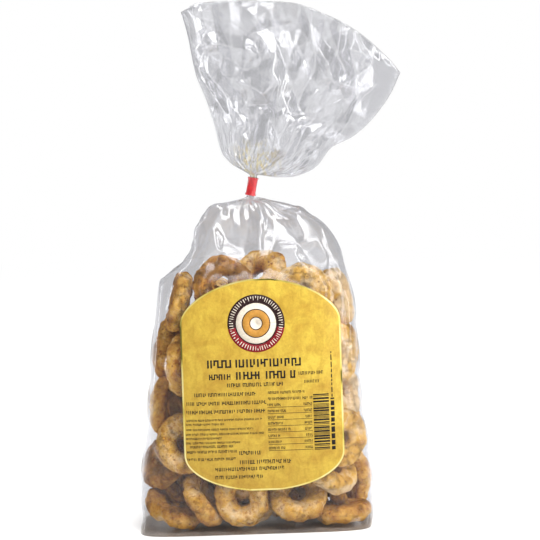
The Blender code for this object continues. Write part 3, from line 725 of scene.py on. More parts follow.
def creases(x, z, lines):
    """Heights of sharp ridges along lines, falling off evenly to both sides."""
    total = np.zeros(x.shape)
    for x0, z0, x1, z1, height, reach in lines:
        run_x, run_z = x1 - x0, z1 - z0
        share = np.clip(((x - x0) * run_x + (z - z0) * run_z) / (run_x**2 + run_z**2), 0.0, 1.0)
        apart = np.hypot(x - x0 - share * run_x, z - z0 - share * run_z)
        total += height * np.maximum(0.0, 1.0 - apart / reach)
    return total


def add_patch(bm, places, finish=0):
    """Adds a grid through a table of places in millimetres, with UVs over it."""
    rows, columns = places.shape[:2]
    uv_map = bm.loops.layers.uv.verify()
    made = bmesh.ops.create_grid(bm, x_segments=columns - 1, y_segments=rows - 1, size=1.0)["verts"]
    at = {}
    for vert in made:
        i, j = round((vert.co.x + 1.0) / 2.0 * (columns - 1)), round((vert.co.y + 1.0) / 2.0 * (rows - 1))
        at[vert] = (i / (columns - 1), j / (rows - 1))
        vert.co = places[j, i] * MM
    for face in {face for vert in made for face in vert.link_faces}:
        face.material_index = finish
        face.smooth = True
        for loop in face.loops:
            loop[uv_map].uv = at[loop.vert]
    return made


def smooth(bm):
    """Shades every face of a mesh smoothly."""
    for face in bm.faces:
        face.smooth = True


def add_piece(name, bm, finishes, slot, *nodes):
    """Makes a finished mesh a piece of the object that stands for the given CAD nodes."""
    mesh = bpy.data.meshes.new(name)
    bm.to_mesh(mesh)
    bm.free()
    piece = bpy.data.objects.new(name, mesh)
    bpy.context.scene.collection.objects.link(piece)
    for finish in finishes:
        mesh.materials.append(finish)
    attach(piece, BODY)
    if nodes:
        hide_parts(*nodes)
    return piece


def thicken(piece, depth, offset=-1.0):
    """Gives a sheet its thickness in metres."""
    wall = piece.modifiers.new("thickness", "SOLIDIFY")
    wall.thickness = depth
    wall.offset = offset
    return wall


def normals_of(places, around):
    """Unit normals of a table of places, outwards where it runs up and turns by way of the left."""
    if around:
        ring = places[:, :-1]
        side = np.roll(ring, -1, axis=1) - np.roll(ring, 1, axis=1)
        side = np.concatenate((side, side[:, :1]), axis=1)
    else:
        side = np.gradient(places, axis=1)
    rise = np.gradient(places, axis=0)
    normal = np.cross(side, rise)
    return normal / np.maximum(np.linalg.norm(normal, axis=-1, keepdims=True), 1e-9)


class Nodes:
    """A short way to add and link shader nodes."""

    def __init__(self, name):
        self.made = bpy.data.materials.new(name)
        self.made.use_nodes = True
        self.tree = self.made.node_tree
        self.tree.nodes.clear()

    def put(self, socket, value):
        """Links what is given as a socket, or sets the value."""
        if isinstance(value, bpy.types.NodeSocket):
            self.tree.links.new(value, socket)
        else:
            socket.default_value = value

    def add(self, kind, _links=None, **values):
        """Adds a node, sets its sockets or settings and links what is given as a socket."""
        node = self.tree.nodes.new(kind)
        for key, value in values.items():
            setattr(node, key, value)
        for key, value in (_links or {}).items():
            self.put(node.inputs[key], value)
        return node

    def finish(self, shader):
        """Links the shader to the output and returns the material."""
        out = self.add("ShaderNodeOutputMaterial")
        self.tree.links.new(shader, out.inputs["Surface"])
        return self.made

    def where(self, stretch=(1.0, 1.0, 1.0)):
        """Object coordinates, stretched."""
        spot = self.add("ShaderNodeTexCoord").outputs["Object"]
        if stretch == (1.0, 1.0, 1.0):
            return spot
        return self.add("ShaderNodeMapping", {"Vector": spot, "Scale": stretch}).outputs["Vector"]

    def cloud(self, size, detail=3.0, rough=0.5, at=None, twist=0.0):
        """Noise whose features are about the given size in millimetres."""
        links = {"Scale": 1000.0 / size, "Detail": detail, "Roughness": rough, "Distortion": twist}
        links["Vector"] = at if at is not None else self.where()
        return self.add("ShaderNodeTexNoise", links).outputs["Fac"]

    def ramp(self, fac, *stops):
        """A colour ramp over pairs of place and colour."""
        node = self.add("ShaderNodeValToRGB", {"Fac": fac})
        band = node.color_ramp
        while len(band.elements) < len(stops):
            band.elements.new(0.5)
        for element, (place, colour) in zip(band.elements, stops):
            element.position = place
            element.color = (*colour, 1.0) if isinstance(colour, tuple) else (colour, colour, colour, 1.0)
        return node.outputs["Color"]

    def maths(self, operation, a, b=0.0, c=0.0):
        """One sum on numbers; a multiply-add is kept between 0 and 1."""
        node = self.add("ShaderNodeMath", operation=operation, use_clamp=operation == "MULTIPLY_ADD")
        for socket, value in zip(node.inputs, (a, b, c)):
            self.put(socket, value)
        return node.outputs["Value"]

    def mix(self, fac, a, b, blend="MIX"):
        """Mixes two colours."""
        node = self.add("ShaderNodeMix", data_type="RGBA", blend_type=blend)
        for key, value in (("Factor_Float", fac), ("A_Color", a), ("B_Color", b)):
            socket = next(s for s in node.inputs if s.identifier == key)
            self.put(socket, (*value, 1.0) if isinstance(value, tuple) else value)
        return next(s for s in node.outputs if s.identifier == "Result_Color")

    def times(self, a, b, share=1.0):
        """Darkens one colour by another."""
        return self.mix(share, a, b, "MULTIPLY")

    def bump(self, height, depth, strength=1.0, normal=None):
        """A bump whose full height is the given depth in millimetres."""
        links = {"Height": height, "Distance": depth * MM, "Strength": strength}
        if normal is not None:
            links["Normal"] = normal
        return self.add("ShaderNodeBump", links).outputs["Normal"]

    def attribute(self, name):
        """A number stored on the mesh."""
        return self.add("ShaderNodeAttribute", attribute_name=name).outputs["Fac"]

    def shader(self, colour, roughness, normal=None, **more):
        """A Principled shader."""
        base = (*colour, 1.0) if isinstance(colour, tuple) else colour
        links = {"Base Color": base, "Roughness": roughness}
        links.update({key.replace("_", " "): value for key, value in more.items()})
        if normal is not None:
            links["Normal"] = normal
        return self.add("ShaderNodeBsdfPrincipled", links).outputs["BSDF"]


# Film: what it lets through as it turns away, where it is loose, its warm streaks, painted shadow at its
# base, and fan
FILM_SHADES = ((0.0, 0.99), (0.02, 0.975), (0.06, 0.925), (0.16, 0.885), (0.38, 0.90), (0.90, 0.93))
LOOSE_FROM = 0.145
LOOSE_AT = 0.178
FILM_WARM = (0.93, 0.83, 0.48)
FILM_GLOSS = (0.95, 0.95, 0.97)
BASE_PAINTED_SHADOW = (0.95, 0.93, 0.90)
WARM_SPOT = (0.006, 0.0, 0.214)
WARM_REACH = 0.018
BASE_SHADOW_TO = 0.0075
FAN_TO = 0.307


def film_material(settings):
    """Clear glossy film that is greyer where it turns away, and mirrors the lights."""
    n = Nodes("clear_film")
    fine = n.cloud(3.2, 2.0, 0.5, n.where((1.0, 1.0, 0.35)))
    normal = n.bump(fine, 0.03, 0.4)
    away = n.add("ShaderNodeLayerWeight", {"Blend": 0.5, "Normal": normal}).outputs["Facing"]
    shades = [(place, tuple(c * share for c in settings.tint)) for place, share in FILM_SHADES]
    spot = n.where()
    apart = n.add("ShaderNodeVectorMath", {0: spot, 1: WARM_SPOT}, operation="DISTANCE").outputs["Value"]
    warm = n.ramp(n.maths("DIVIDE", apart, WARM_REACH), (0.25, 1.0), (1.0, 0.0))
    streaks = n.cloud(1.8, 2.0, 0.5, n.where((1.0, 1.0, 0.3)))
    warm = n.times(warm, n.ramp(streaks, (0.50, 0.0), (0.66, 0.6)))
    shade = n.mix(warm, n.ramp(away, *shades), FILM_WARM)
    height = n.add("ShaderNodeSeparateXYZ", {"Vector": spot}).outputs["Z"]
    # Painted shadow at the base: the lowest millimetres of film are darker, and warmed as a painted
    # reflection of the biscuits
    base_shadow = n.ramp(n.maths("DIVIDE", height, BASE_SHADOW_TO), (0.45, BASE_PAINTED_SHADOW), (0.90, 1.0))
    shade = n.times(shade, base_shadow)
    shade = n.times(shade, n.ramp(n.maths("DIVIDE", height, FAN_TO), (0.64, 1.0), (0.72, 0.97)))
    clear = n.add("ShaderNodeBsdfTransparent", {"Color": shade}).outputs["BSDF"]
    gloss = n.shader(FILM_GLOSS, settings.roughness, normal, Metallic=1.0)
    loose = n.add("ShaderNodeMapRange", {
        "Value": height, "From Min": LOOSE_FROM, "From Max": LOOSE_AT, "To Min": settings.mirror,
        "To Max": settings.loose_mirror,
    }).outputs["Result"]
    mirror = n.maths("MULTIPLY_ADD", n.maths("POWER", away, 3.0), settings.edge_mirror, loose)
    mixed = n.add("ShaderNodeMixShader", {0: mirror, 1: clear, 2: gloss}).outputs["Shader"]
    return n.finish(mixed)


# Crust: sizes in millimetres, cells to a metre, and the shades that darken the dough, partly painted shade
# in pits and cracks
PATCH_SIZE = 10.0
GRAIN_SIZE = 0.9
PIT_SIZE = 2.4
CRACK_PATCH_SIZE = 11.0
CRACK_CELLS = 190.0
CRACK_WARP = (260.0, 0.006)
SPECK_CELLS = 330.0
WHITE = (1.0, 1.0, 1.0)
GRAIN_SHADE = (0.80, 0.62, 0.42)
PIT_SHADE = (0.56, 0.34, 0.16)
CRACK_SHADE = (0.16, 0.070, 0.022)
SPECK_SHADE = (0.23, 0.065, 0.020)
MARK_SHARE = 0.75
DARKEST_SHARE = 0.55
BATCH_TONES = ((0.0, (0.84, 0.82, 0.78)), (1.0, (1.06, 1.05, 1.02)))


def biscuit_material(name, pale, golden, browned, shift, coarse):
    """Baked dough: mottled crust with browned patches, pits, cracks and small specks of spice; pits and
    cracks are darkened partly as painted shade.
    """
    n = Nodes(name)
    patches = n.cloud(PATCH_SIZE, 5.0, 0.66, twist=0.6)
    grain = n.cloud(GRAIN_SIZE, 3.0, 0.65)
    pits = n.cloud(PIT_SIZE, 4.0, 0.6)
    baked = n.attribute("bake")
    uneven = n.maths("MULTIPLY_ADD", patches, 1.1, -0.24)
    bake = n.maths("ADD", n.maths("MULTIPLY_ADD", baked, 0.62, uneven), shift)
    darkest = tuple(c * DARKEST_SHARE for c in browned)
    crust = n.ramp(bake, (0.22, pale), (0.48, golden), (0.78, browned), (0.98, darkest))
    crust = n.times(crust, n.ramp(grain, (0.32, GRAIN_SHADE), (0.56, WHITE)), coarse)
    # Partly the crust's own colour, partly painted shade: pits darken where their bump sinks
    crust = n.times(crust, n.ramp(pits, (0.36, PIT_SHADE), (0.47, WHITE)), coarse)
    cells, share = CRACK_WARP
    warp = n.add("ShaderNodeTexNoise", {"Scale": cells, "Detail": 2.0}).outputs["Color"]
    warped = n.mix(share, n.where(), warp)
    links = {"Vector": warped, "Scale": CRACK_CELLS}
    cell = n.add("ShaderNodeTexVoronoi", links, feature="DISTANCE_TO_EDGE").outputs["Distance"]
    crack = n.ramp(cell, (0.0, 1.0), (0.035, 0.0))
    crack = n.times(crack, n.ramp(n.cloud(CRACK_PATCH_SIZE, 2.0), (0.47, 0.0), (0.56, 1.0)))
    # Partly the crust's own colour, partly painted shade: the cracks, sunk by their bump, are dark
    crust = n.mix(n.maths("MULTIPLY", crack, MARK_SHARE), crust, CRACK_SHADE)
    spots = n.add("ShaderNodeTexVoronoi", {"Vector": n.where(), "Scale": SPECK_CELLS, "Randomness": 1.0})
    chosen = n.ramp(spots.outputs["Color"], (0.58, 0.0), (0.60, 1.0))
    near = n.ramp(spots.outputs["Distance"], (0.12, 1.0), (0.28, 0.0))
    speck = n.times(chosen, near)
    crust = n.mix(n.maths("MULTIPLY", speck, MARK_SHARE), crust, SPECK_SHADE)
    tinted = n.times(crust, n.ramp(n.attribute("tint"), *BATCH_TONES))
    normal = n.bump(patches, 1.4, 0.5)
    normal = n.bump(pits, 0.85, 0.8, normal)
    normal = n.bump(grain, 0.22, 0.8, normal)
    normal = n.bump(crack, -0.5, 1.0, normal)
    rough = n.ramp(grain, (0.3, 0.66), (0.7, 0.88))
    return n.finish(n.shader(tinted, rough, normal, Specular_IOR_Level=0.35))


# Label paper: sizes in millimetres, shades of its fibres, its painted light gradient, and the border's
# colours with painted reflections
CLOUD_SIZE = 13.0
FINE_SIZE = 1.1
FIBRE_SIZE = 4.0
FIBRE_SHADE = (0.80, 0.76, 0.66)
LIGHT_WAY = (4.6, 0.0, 4.2)
PAINTED_LIGHT_GRADIENT = ((0.02, (0.74, 0.70, 0.70)), (0.30, (0.83, 0.80, 0.80)), (0.66, 1.0))
BORDER_SCALE = 8.0
BORDER_EDGE = 0.02
GLINT_SIZE = 24.0
DARK_REFLECTION_SHARES = (0.22, 0.24, 0.16)
FOIL_PAINTED_HIGHLIGHT = (0.66, 0.58, 0.24)


def paper_material(settings):
    """Printed parchment ground inside a narrow metallic border, with painted light on the paper and painted
    reflections on the border.
    """
    n = Nodes("label_paper")
    clouds = n.cloud(CLOUD_SIZE, 6.0, 0.62, twist=0.8)
    fine = n.cloud(FINE_SIZE, 4.0, 0.7)
    ground = n.ramp(clouds, (0.30, tuple(settings.ground)), (0.72, tuple(settings.ground_light)))
    ground = n.times(ground, n.ramp(fine, (0.30, 0.76), (0.65, 1.0)), 0.7)
    fibres = n.cloud(FIBRE_SIZE, 4.0, 0.6, n.where((1.0, 1.0, 0.5)), 1.0)
    ground = n.times(ground, n.ramp(fibres, (0.34, FIBRE_SHADE), (0.58, WHITE)), 0.8)
    # Painted light: the paper is lighter towards the upper right, where the lamps fall, and darker towards
    # the lower left
    slope = n.add("ShaderNodeVectorMath", {0: n.where(), 1: LIGHT_WAY}, operation="DOT_PRODUCT")
    ground = n.times(ground, n.ramp(slope.outputs["Value"], *PAINTED_LIGHT_GRADIENT))
    inside = n.maths("DIVIDE", n.attribute("inside"), BORDER_SCALE)
    edge = settings.border / BORDER_SCALE
    border = n.ramp(inside, (edge, 1.0), (edge + BORDER_EDGE, 0.0))
    paper = n.shader(ground, 0.42, n.bump(fine, 0.04, 0.6), Specular_IOR_Level=0.3)
    # Painted reflections on the border: noise turns the foil into dark olive patches and bright patches, as
    # if it mirrored the room
    glint = n.cloud(GLINT_SIZE, 2.0, 0.5)
    dark_reflection = tuple(c * share for c, share in zip(settings.foil, DARK_REFLECTION_SHARES))
    painted_foil = n.ramp(glint, (0.38, dark_reflection), (0.44, tuple(settings.foil)), (0.62, FOIL_PAINTED_HIGHLIGHT))
    foil = n.shader(painted_foil, 0.34, Metallic=0.55)
    return n.finish(n.add("ShaderNodeMixShader", {0: border, 1: paper, 2: foil}).outputs["Shader"])


def ink_material(name, colour, roughness=0.4):
    """Printing ink with slightly uneven cover."""
    n = Nodes(name)
    wear = n.cloud(1.4, 3.0, 0.6)
    light = tuple(min(1.0, c * 1.25 + 0.006) for c in colour)
    cover = n.ramp(wear, (0.35, tuple(colour)), (0.75, light))
    rough = n.ramp(wear, (0.3, roughness), (0.7, roughness + 0.12))
    return n.finish(n.shader(cover, rough, Specular_IOR_Level=0.15))


def ring_clearance(points, rings):
    """Distance from points to the nearest biscuit, in millimetres."""
    places, _across, axes, sizes = rings
    nearest = np.full(points.shape[:-1], 1e9)
    for place, axis, size in zip(places, axes, sizes):
        apart = points - place
        rise = apart @ axis
        out = np.sqrt(np.maximum(np.sum(apart * apart, axis=-1) - rise * rise, 0.0))
        gap = np.hypot(out - RING_RADIUS * size, rise) - TUBE_RADIUS * size
        nearest = np.minimum(nearest, gap)
    return nearest


def section_row(height, columns):
    """Evenly spaced points round the film at a height, from mid-back by way of the left side, closed."""
    left, right, depth, power = body_section(height)
    width, centre = (right - left) / 2, (right + left) / 2
    angle = math.pi / 2 + math.tau * np.arange(721) / 720
    c, s = np.cos(angle), np.sin(angle)
    reach = (np.abs(c / width) ** power + np.abs(s / depth) ** power) ** (-1 / power)
    x, y = centre + reach * c, reach * s
    along = np.concatenate(([0.0], np.cumsum(np.hypot(np.diff(x), np.diff(y)))))
    at = np.linspace(0.0, along[-1], columns + 1)
    x, y = np.interp(at, along, x), np.interp(at, along, y)
    x[-1], y[-1] = x[0], y[0]
    return x, y


def body_heights():
    """Row heights of the film body above its base."""
    return np.concatenate([np.linspace(*rows) for rows in BODY_ROWS] + [TOP_ROWS])


def label_cover(x, height):
    """How far inside the label's edge points are, in millimetres, from 0 at the edge."""
    halves = np.array([label_half_width(h) for h in np.clip(height - LABEL_LOW, 0.0, LABEL_HEIGHT)])
    beside = halves - np.abs(x - LABEL_CENTRE_X)
    from_end = np.minimum(height - LABEL_LOW, LABEL_LOW + LABEL_HEIGHT - height)
    return np.clip(np.minimum(beside, from_end * LABEL_END_WEIGHT), 0.0, None)


def pleat_wave(around, drift, pleats):
    """Sharp folds round the film, drifting to and fro."""
    return sum(
        fold(count * (around + way * drift) + phase) * weight for count, phase, weight, way in pleats
    )


def room_behind_film(flat, normal, level, rings):
    """How far the film could sink to the biscuits behind it, less at its sides, base and label."""
    room = np.zeros(level.shape)
    for _ in range(ROOM_PASSES):
        gap = ring_clearance(flat - normal * room[..., None], rings) - FILM_PLAY
        room = np.clip(room + ROOM_STEP * gap, 0.0, FILM_SAG)
    side = eased((np.abs(normal[..., 0]) - SIDE_FROM) / SIDE_RUN)
    room *= (1.0 - SIDE_LOSS * side) * eased(level / BASE_EASE)
    behind = label_cover(flat[..., 0].ravel(), level.ravel()).reshape(level.shape)
    cover = np.where(flat[..., 1] < 0.0, behind, 0.0)
    return room * (1.0 - eased(cover / LABEL_EASE))


def pulled_taut(room):
    """The same film when it spans the gaps like a stretched sheet."""
    taut = np.minimum(room, TAUT_START)
    for _ in range(TAUT_STEPS):
        ring = taut[:, :-1]
        mean = (np.roll(ring, 1, axis=1) + np.roll(ring, -1, axis=1)) / 4.0
        mean[1:-1] += (ring[2:] + ring[:-2]) / 4.0
        mean[0], mean[-1] = 0.0, mean[-1] * 2.0
        ring = np.minimum(room[:, :-1], mean + TAUT_PULL)
        taut = np.concatenate((ring, ring[:, :1]), axis=1)
    return taut


def film_body_places(rings):
    """The film body as a table of places: base, sides taut over the biscuits, shoulders and neck."""
    heights = body_heights()
    flat = np.array([
        np.stack(section_row(h, BODY_COLUMNS) + (np.full(BODY_COLUMNS + 1, h),), axis=-1) for h in heights
    ])
    normal = normals_of(flat, True)
    around = np.linspace(0.0, 1.0, BODY_COLUMNS + 1)[None, :].repeat(len(heights), axis=0)
    level = heights[:, None].repeat(BODY_COLUMNS + 1, axis=1)
    half_depth = np.array([body_section(h)[2] for h in heights])[:, None]
    below = 1.0 - eased((level - EMPTY_FROM) / EMPTY_RUN)
    room = room_behind_film(flat, normal, level, rings)
    taut = pulled_taut(room) * below

    up = level / FACET_HEIGHT
    crumple, small = ((facets(around, up, *kind, True) + 1.0) / 2.0 for kind in BODY_FACETS)
    ridge = np.where(flat[..., 1] < 0.0, creases(flat[..., 0], level, BODY_CREASES), 0.0)
    large_by, small_by, ridge_by = TAUT_WEIGHTS
    wrinkled = taut + large_by * crumple + small_by * small - ridge_by * ridge
    taut = np.minimum(np.maximum(room * below, LEAST_ROOM), wrinkled) * eased(level / WRINKLE_EASE)

    near_neck = eased((level - GATHER_FROM) / GATHER_RUN)
    drift = sum(by * np.sin(math.tau * (turns * around + phase)) for by, turns, phase in PLEAT_DRIFT)
    wide = pleat_wave(around, drift, SHOULDER_PLEATS)
    fine = pleat_wave(around, drift, GATHER_PLEATS)
    pleats = (1.0 - (wide * (1.0 - near_neck) + fine * near_neck)) / 2.0
    loose = eased((level - SHOULDER_FROM) / SHOULDER_RUN) * np.minimum(1.0, half_depth / GATHER_DEPTH)
    pleat_by, large_by, small_by, ridge_by = SHOULDER_WEIGHTS
    slack = pleat_by * pleats + large_by * crumple + small_by * small - ridge_by * ridge
    places = flat - normal * np.maximum(taut + loose * slack, 0.0)[..., None]
    places[0, :, 2] = 0.0
    places[..., 2] = np.clip(places[..., 2], 0.0, BODY_TOP)

    x, y, ground = places[0, :, 0], places[0, :, 1], np.zeros(BODY_COLUMNS + 1)
    base = [np.stack((x * share, y * share, ground), axis=-1) for share in BASE_SHARES]
    neck = [neck_row(share, BODY_COLUMNS) for share in BODY_NECK_SHARES]
    return np.concatenate((np.array(base), places, np.array(neck)))


def neck_row(share, columns):
    """A closed row of the gathered neck, at a share of the way up it, finely pleated."""
    x = NECK_FOOT[0] + share * (NECK_TOP[0] - NECK_FOOT[0])
    z = NECK_FOOT[1] + share * (NECK_TOP[1] - NECK_FOOT[1])
    turn = np.linspace(0.0, 1.0, columns + 1)
    angle = math.pi / 2 + math.tau * turn
    radius = NECK_RADIUS * (1.0 + NECK_PLEAT_DEPTH * fold(NECK_PLEATS * turn))
    level = np.full(columns + 1, z)
    return np.stack((x + radius * np.cos(angle), radius * np.sin(angle), level), axis=-1)


def front_and_back(front, across, up, kind):
    """Facets over the fan, with a set of their own for each of its two layers."""
    front_columns, back_columns, rows, seed = kind
    on_front = facets(across, up, front_columns, rows, seed)
    return np.where(front, on_front, facets(across, up, back_columns, rows, seed + 1))


def bell(height, band):
    """A smooth bump over the fan's height, with its middle and reach."""
    return np.exp(-((height - band[0]) / band[1]) ** 2)


def film_fan_places():
    """The loose film above the neck as a table of places, from inside the tie to its open mouth."""
    outs = np.linspace(0.0, 1.0, FAN_ROWS) ** FAN_ROW_POWER
    outs[0] = FAN_FIRST_ROW
    turn = (np.linspace(0.0, 1.0, FAN_COLUMNS + 1) - 0.25) % 1.0
    front = turn <= 0.5
    across = np.where(front, turn * 2.0, 2.0 - turn * 2.0)
    side = np.where(front, -1.0, 1.0)
    left = np.array([curve_at(FAN_LEFT, o) for o in outs])
    right = np.array([curve_at(FAN_RIGHT, o) for o in outs])
    mouth = np.array([curve_at(FAN_MOUTH, a) for a in across])
    lift = (outs**FAN_LIFT_POWER)[:, None]
    plane = []
    for c in (0, 1):
        straight = (1 - across) * FAN_MOUTH[0][c] + across * FAN_MOUTH[-1][c]
        sides = (1 - across) * left[:, c:c + 1] + across * right[:, c:c + 1]
        plane.append(sides + lift * (mouth[:, c] - straight))
    x, z = plane
    out = outs[:, None]
    open_share = np.maximum(np.sin(math.pi * across), 0.0) ** FAN_SIDE_POWER
    depth = FAN_HALF_DEPTH * out**FAN_DEPTH_POWER * open_share
    uneven = across + UNEVEN_BY * np.sin(math.tau * (UNEVEN_FOLDS * across + UNEVEN_SHIFT * (1 + side)))
    wavy = np.cos(math.tau * (ROUND_FOLDS * uneven + ROUND_SHIFT * (1 + side)))
    sharp = fold(SHARP_FOLDS * uneven + SHARP_SHIFT * (1 + side))
    folds = SHARP_WEIGHT * sharp + (1 - SHARP_WEIGHT) * wavy
    from_side = np.minimum(1.0, FAN_PLEAT_SIDE_RISE * open_share)
    pleat = FAN_PLEAT * out**FAN_PLEAT_POWER * from_side * open_share
    depth = depth + FAN_FOLD_WEIGHT * pleat * folds
    depth = np.maximum(depth, FAN_LEAST_HALF_DEPTH * open_share)
    sway = FAN_SWAY * out * np.sin(math.tau * (FAN_SWAY_TURNS * across + FAN_SWAY_START)) * open_share

    wide = across[None, :].repeat(FAN_ROWS, axis=0)
    high = out.repeat(FAN_COLUMNS + 1, axis=1)
    edge = np.minimum(1.0, FAN_EDGE_RISE * open_share)
    crumple = front_and_back(front, wide, high, FAN_LARGE)
    small = front_and_back(front, wide, high, FAN_SMALL)
    slow_by, slow_turns, layer_shift, quick_by, quick_turns = FAN_DRIFT
    shift = slow_by * np.sin(math.tau * (slow_turns * across + layer_shift * side))
    shift = shift + quick_by * np.sin(math.tau * quick_turns * across)
    narrow = front_and_back(front, wide, np.sqrt(high), FAN_NARROW)
    broad = front_and_back(front, wide, np.sqrt(high), FAN_BROAD)
    fine_by, fine_count, fine_shift = FAN_FINE_PLEATS
    fine = fine_by * fold(fine_count * (across + shift) + fine_shift * side)
    tight = (narrow + fine) * bell(high, NARROW_BAND)
    tight = tight + FAN_BROAD_WEIGHT * broad * bell(high, BROAD_BAND)
    loose = eased(high / FAN_LOOSE_AT)
    ruffle = edge * (tight + loose * (FAN_LARGE_WEIGHT * crumple + FAN_SMALL_WEIGHT * small))
    ruffle -= np.where(front, FAN_CREASE_WEIGHT * loose * edge * creases(x, z, FAN_CREASES), 0.0)
    y = sway + side * depth + np.clip(ruffle, -FAN_MOST_SHARE * depth, FAN_MOST_SHARE * depth)

    near = neck_row(1.0, FAN_COLUMNS)
    blend = eased(out / FAN_BLEND_SHARE)
    x = near[:, 0] + blend * (x - near[:, 0])
    y = near[:, 1] + blend * (y - near[:, 1])
    z = near[:, 2] + FAN_FIRST_RISE * out + blend * (z - near[:, 2] - FAN_FIRST_RISE * out)
    table = np.stack((x, y, z), axis=-1)
    neck = np.array([neck_row(share, FAN_COLUMNS) for share in FAN_NECK_SHARES])
    return np.concatenate((neck, table))


def face_outwards(bm):
    """Turns the faces of a sheet away from the middle of the pack."""
    bm.normal_update()
    middle = sum((vert.co for vert in bm.verts), Vector()) / len(bm.verts)
    middle.y = 0.0
    outward = sum(
        face.normal.dot(face.calc_center_median() - middle) * face.calc_area() for face in bm.faces
    )
    if outward < 0.0:
        bmesh.ops.reverse_faces(bm, faces=bm.faces)


def film_piece(name, places, finish, thickness):
    """One closed-round sheet of film, given its thickness inwards."""
    places[:, -1] = places[:, 0]
    bm = bmesh.new()
    add_patch(bm, places)
    bmesh.ops.remove_doubles(bm, verts=bm.verts, dist=WELD)
    bmesh.ops.recalc_face_normals(bm, faces=bm.faces)
    face_outwards(bm)
    piece = add_piece(name, bm, [finish], "film_and_biscuits", "bag")
    thicken(piece, thickness)
    return piece


def seam_piece(places, finish, thickness):
    """The strip where the film's edges overlap, down the middle of the back."""
    lifted = places + SEAM_LIFT * normals_of(places, True)
    lifted = np.roll(lifted[:, :-1], BODY_COLUMNS // 2, axis=1)
    row = lifted[len(lifted) // 2]
    behind = (row[:, 1] > 0) & (np.abs(row[:, 0]) < SEAM_HALF_WIDTH)
    level = places[:, 0, 2]
    along = (level > SEAM_SPAN[0]) & (level < SEAM_SPAN[1])
    strip = lifted[along][:, behind]
    bm = bmesh.new()
    add_patch(bm, strip)
    face_outwards(bm)
    piece = add_piece("film_seam", bm, [finish], "film_and_biscuits", "bag")
    thicken(piece, thickness)
    return piece


def spin_round(bm, steps, weld):
    """Spins a profile once round the upright axis and closes it."""
    profile = bm.verts[:] + bm.edges[:]
    bmesh.ops.spin(
        bm, geom=profile, cent=(0, 0, 0), axis=(0, 0, 1), angle=math.tau, steps=steps, use_merge=True,
        use_duplicate=False,
    )
    bmesh.ops.remove_doubles(bm, verts=bm.verts, dist=weld)


def lean_over(bm, axis, angle):
    """Turns a whole mesh about an axis through the origin."""
    matrix = Quaternion(axis, angle).to_matrix()
    bmesh.ops.rotate(bm, verts=bm.verts, cent=(0, 0, 0), matrix=matrix)


def torus_template():
    """A ring of round section, made by spinning a circle."""
    bm = bmesh.new()
    bmesh.ops.create_circle(bm, segments=TUBE_STEPS, radius=TUBE_RADIUS)
    lean_over(bm, (1, 0, 0), math.pi / 2)
    bmesh.ops.translate(bm, verts=bm.verts, vec=(RING_RADIUS, 0, 0))
    spin_round(bm, RING_STEPS, RING_WELD)
    bmesh.ops.recalc_face_normals(bm, faces=bm.faces)
    smooth(bm)
    mesh = bpy.data.meshes.new("ring_template")
    bm.to_mesh(mesh)
    bm.free()
    return mesh


def shaped_ring(theta, phi, ring, rng):
    """Places, bake and tint of one uneven biscuit with overlapping ends and a flat underside."""
    place, across, axis, size = ring
    joint = rng.uniform(0.0, math.tau)
    near = (theta - joint + math.pi) % math.tau - math.pi
    pinch, bulge = bell(near, JOINT_PINCH), bell(near, JOINT_BULGE)
    phase = [rng.uniform(0.0, math.tau) for _ in range(4)]
    slow, quick = TUBE_WAVES
    waves = 1.0 + slow * np.sin(theta + phase[0]) + quick * np.sin(2 * theta + phase[1])
    tube = TUBE_RADIUS * size * TUBE_SHARE * waves
    tube = tube * (1.0 - rng.uniform(*PINCH_DEPTH) * pinch + rng.uniform(*BULGE_HEIGHT) * bulge)
    slow, quick = RING_WAVES
    waves = 1.0 + slow * np.sin(2 * theta + phase[2]) + quick * np.sin(3 * theta + phase[3])
    radius = RING_RADIUS * size * waves + rng.uniform(*BULGE_OUT) * bulge
    lift = rng.uniform(-END_LIFT, END_LIFT) * (bulge - DIP_SHARE * bell(near, JOINT_DIP))
    squash = rng.uniform(FLATTEST, 1.0)
    out = tube * np.cos(phi)
    up = tube * np.sin(phi) * squash
    under = -UNDERSIDE * tube * squash
    up = np.where(up < under, under + UNDERSIDE_ROUNDING * (up - under), up) + lift
    local = np.stack(((radius + out) * np.cos(theta), (radius + out) * np.sin(theta), up), axis=-1)
    outward = np.stack((np.cos(phi) * np.cos(theta), np.cos(phi) * np.sin(theta), np.sin(phi)), axis=-1)
    lumps, dents, grain = (ripple(local, *kind, rng) for kind in RELIEF)
    lump_by, dent_by, grain_by = RELIEF_DEPTHS
    relief = lump_by * lumps + dent_by * dents + grain_by * grain - RELIEF_SINK
    local = local + outward * relief[:, None]
    flip = rng.choice((-1.0, 1.0))
    turned_up = np.cross(axis, across)
    world = place + local[:, :1] * across + flip * local[:, 1:2] * turned_up + flip * local[:, 2:3] * axis
    world[:, 2] = np.maximum(world[:, 2], RING_FLOOR)
    top_by, lump_by, dent_by, pinch_by = BAKE_WEIGHTS
    bake = BAKE_MIDDLE - top_by * np.sin(phi) + lump_by * lumps + dent_by * dents + pinch_by * pinch
    return world, np.clip(bake, 0.0, 1.0), np.full(len(theta), rng.random())


def biscuits_piece(name, chosen, rings, template, finish, seed):
    """All biscuits of one bake as one mesh."""
    bm = bmesh.new()
    for _ in chosen:
        bm.from_mesh(template)
    smooth(bm)
    piece = add_piece(name, bm, [finish], "film_and_biscuits", "bag")
    flat = np.array([v.co for v in template.vertices])
    theta = np.arctan2(flat[:, 1], flat[:, 0])
    phi = np.arctan2(flat[:, 2], np.hypot(flat[:, 0], flat[:, 1]) - RING_RADIUS)
    rng = random.Random(seed)
    shaped = [shaped_ring(theta, phi, [part[k] for part in rings], rng) for k in chosen]
    mesh = piece.data
    mesh.vertices.foreach_set("co", np.concatenate([s[0] for s in shaped]).ravel() * MM)
    for layer, index in (("bake", 1), ("tint", 2)):
        values = mesh.attributes.new(layer, "FLOAT", "POINT")
        values.data.foreach_set("value", np.concatenate([s[index] for s in shaped]))
    mesh.update()
    return piece


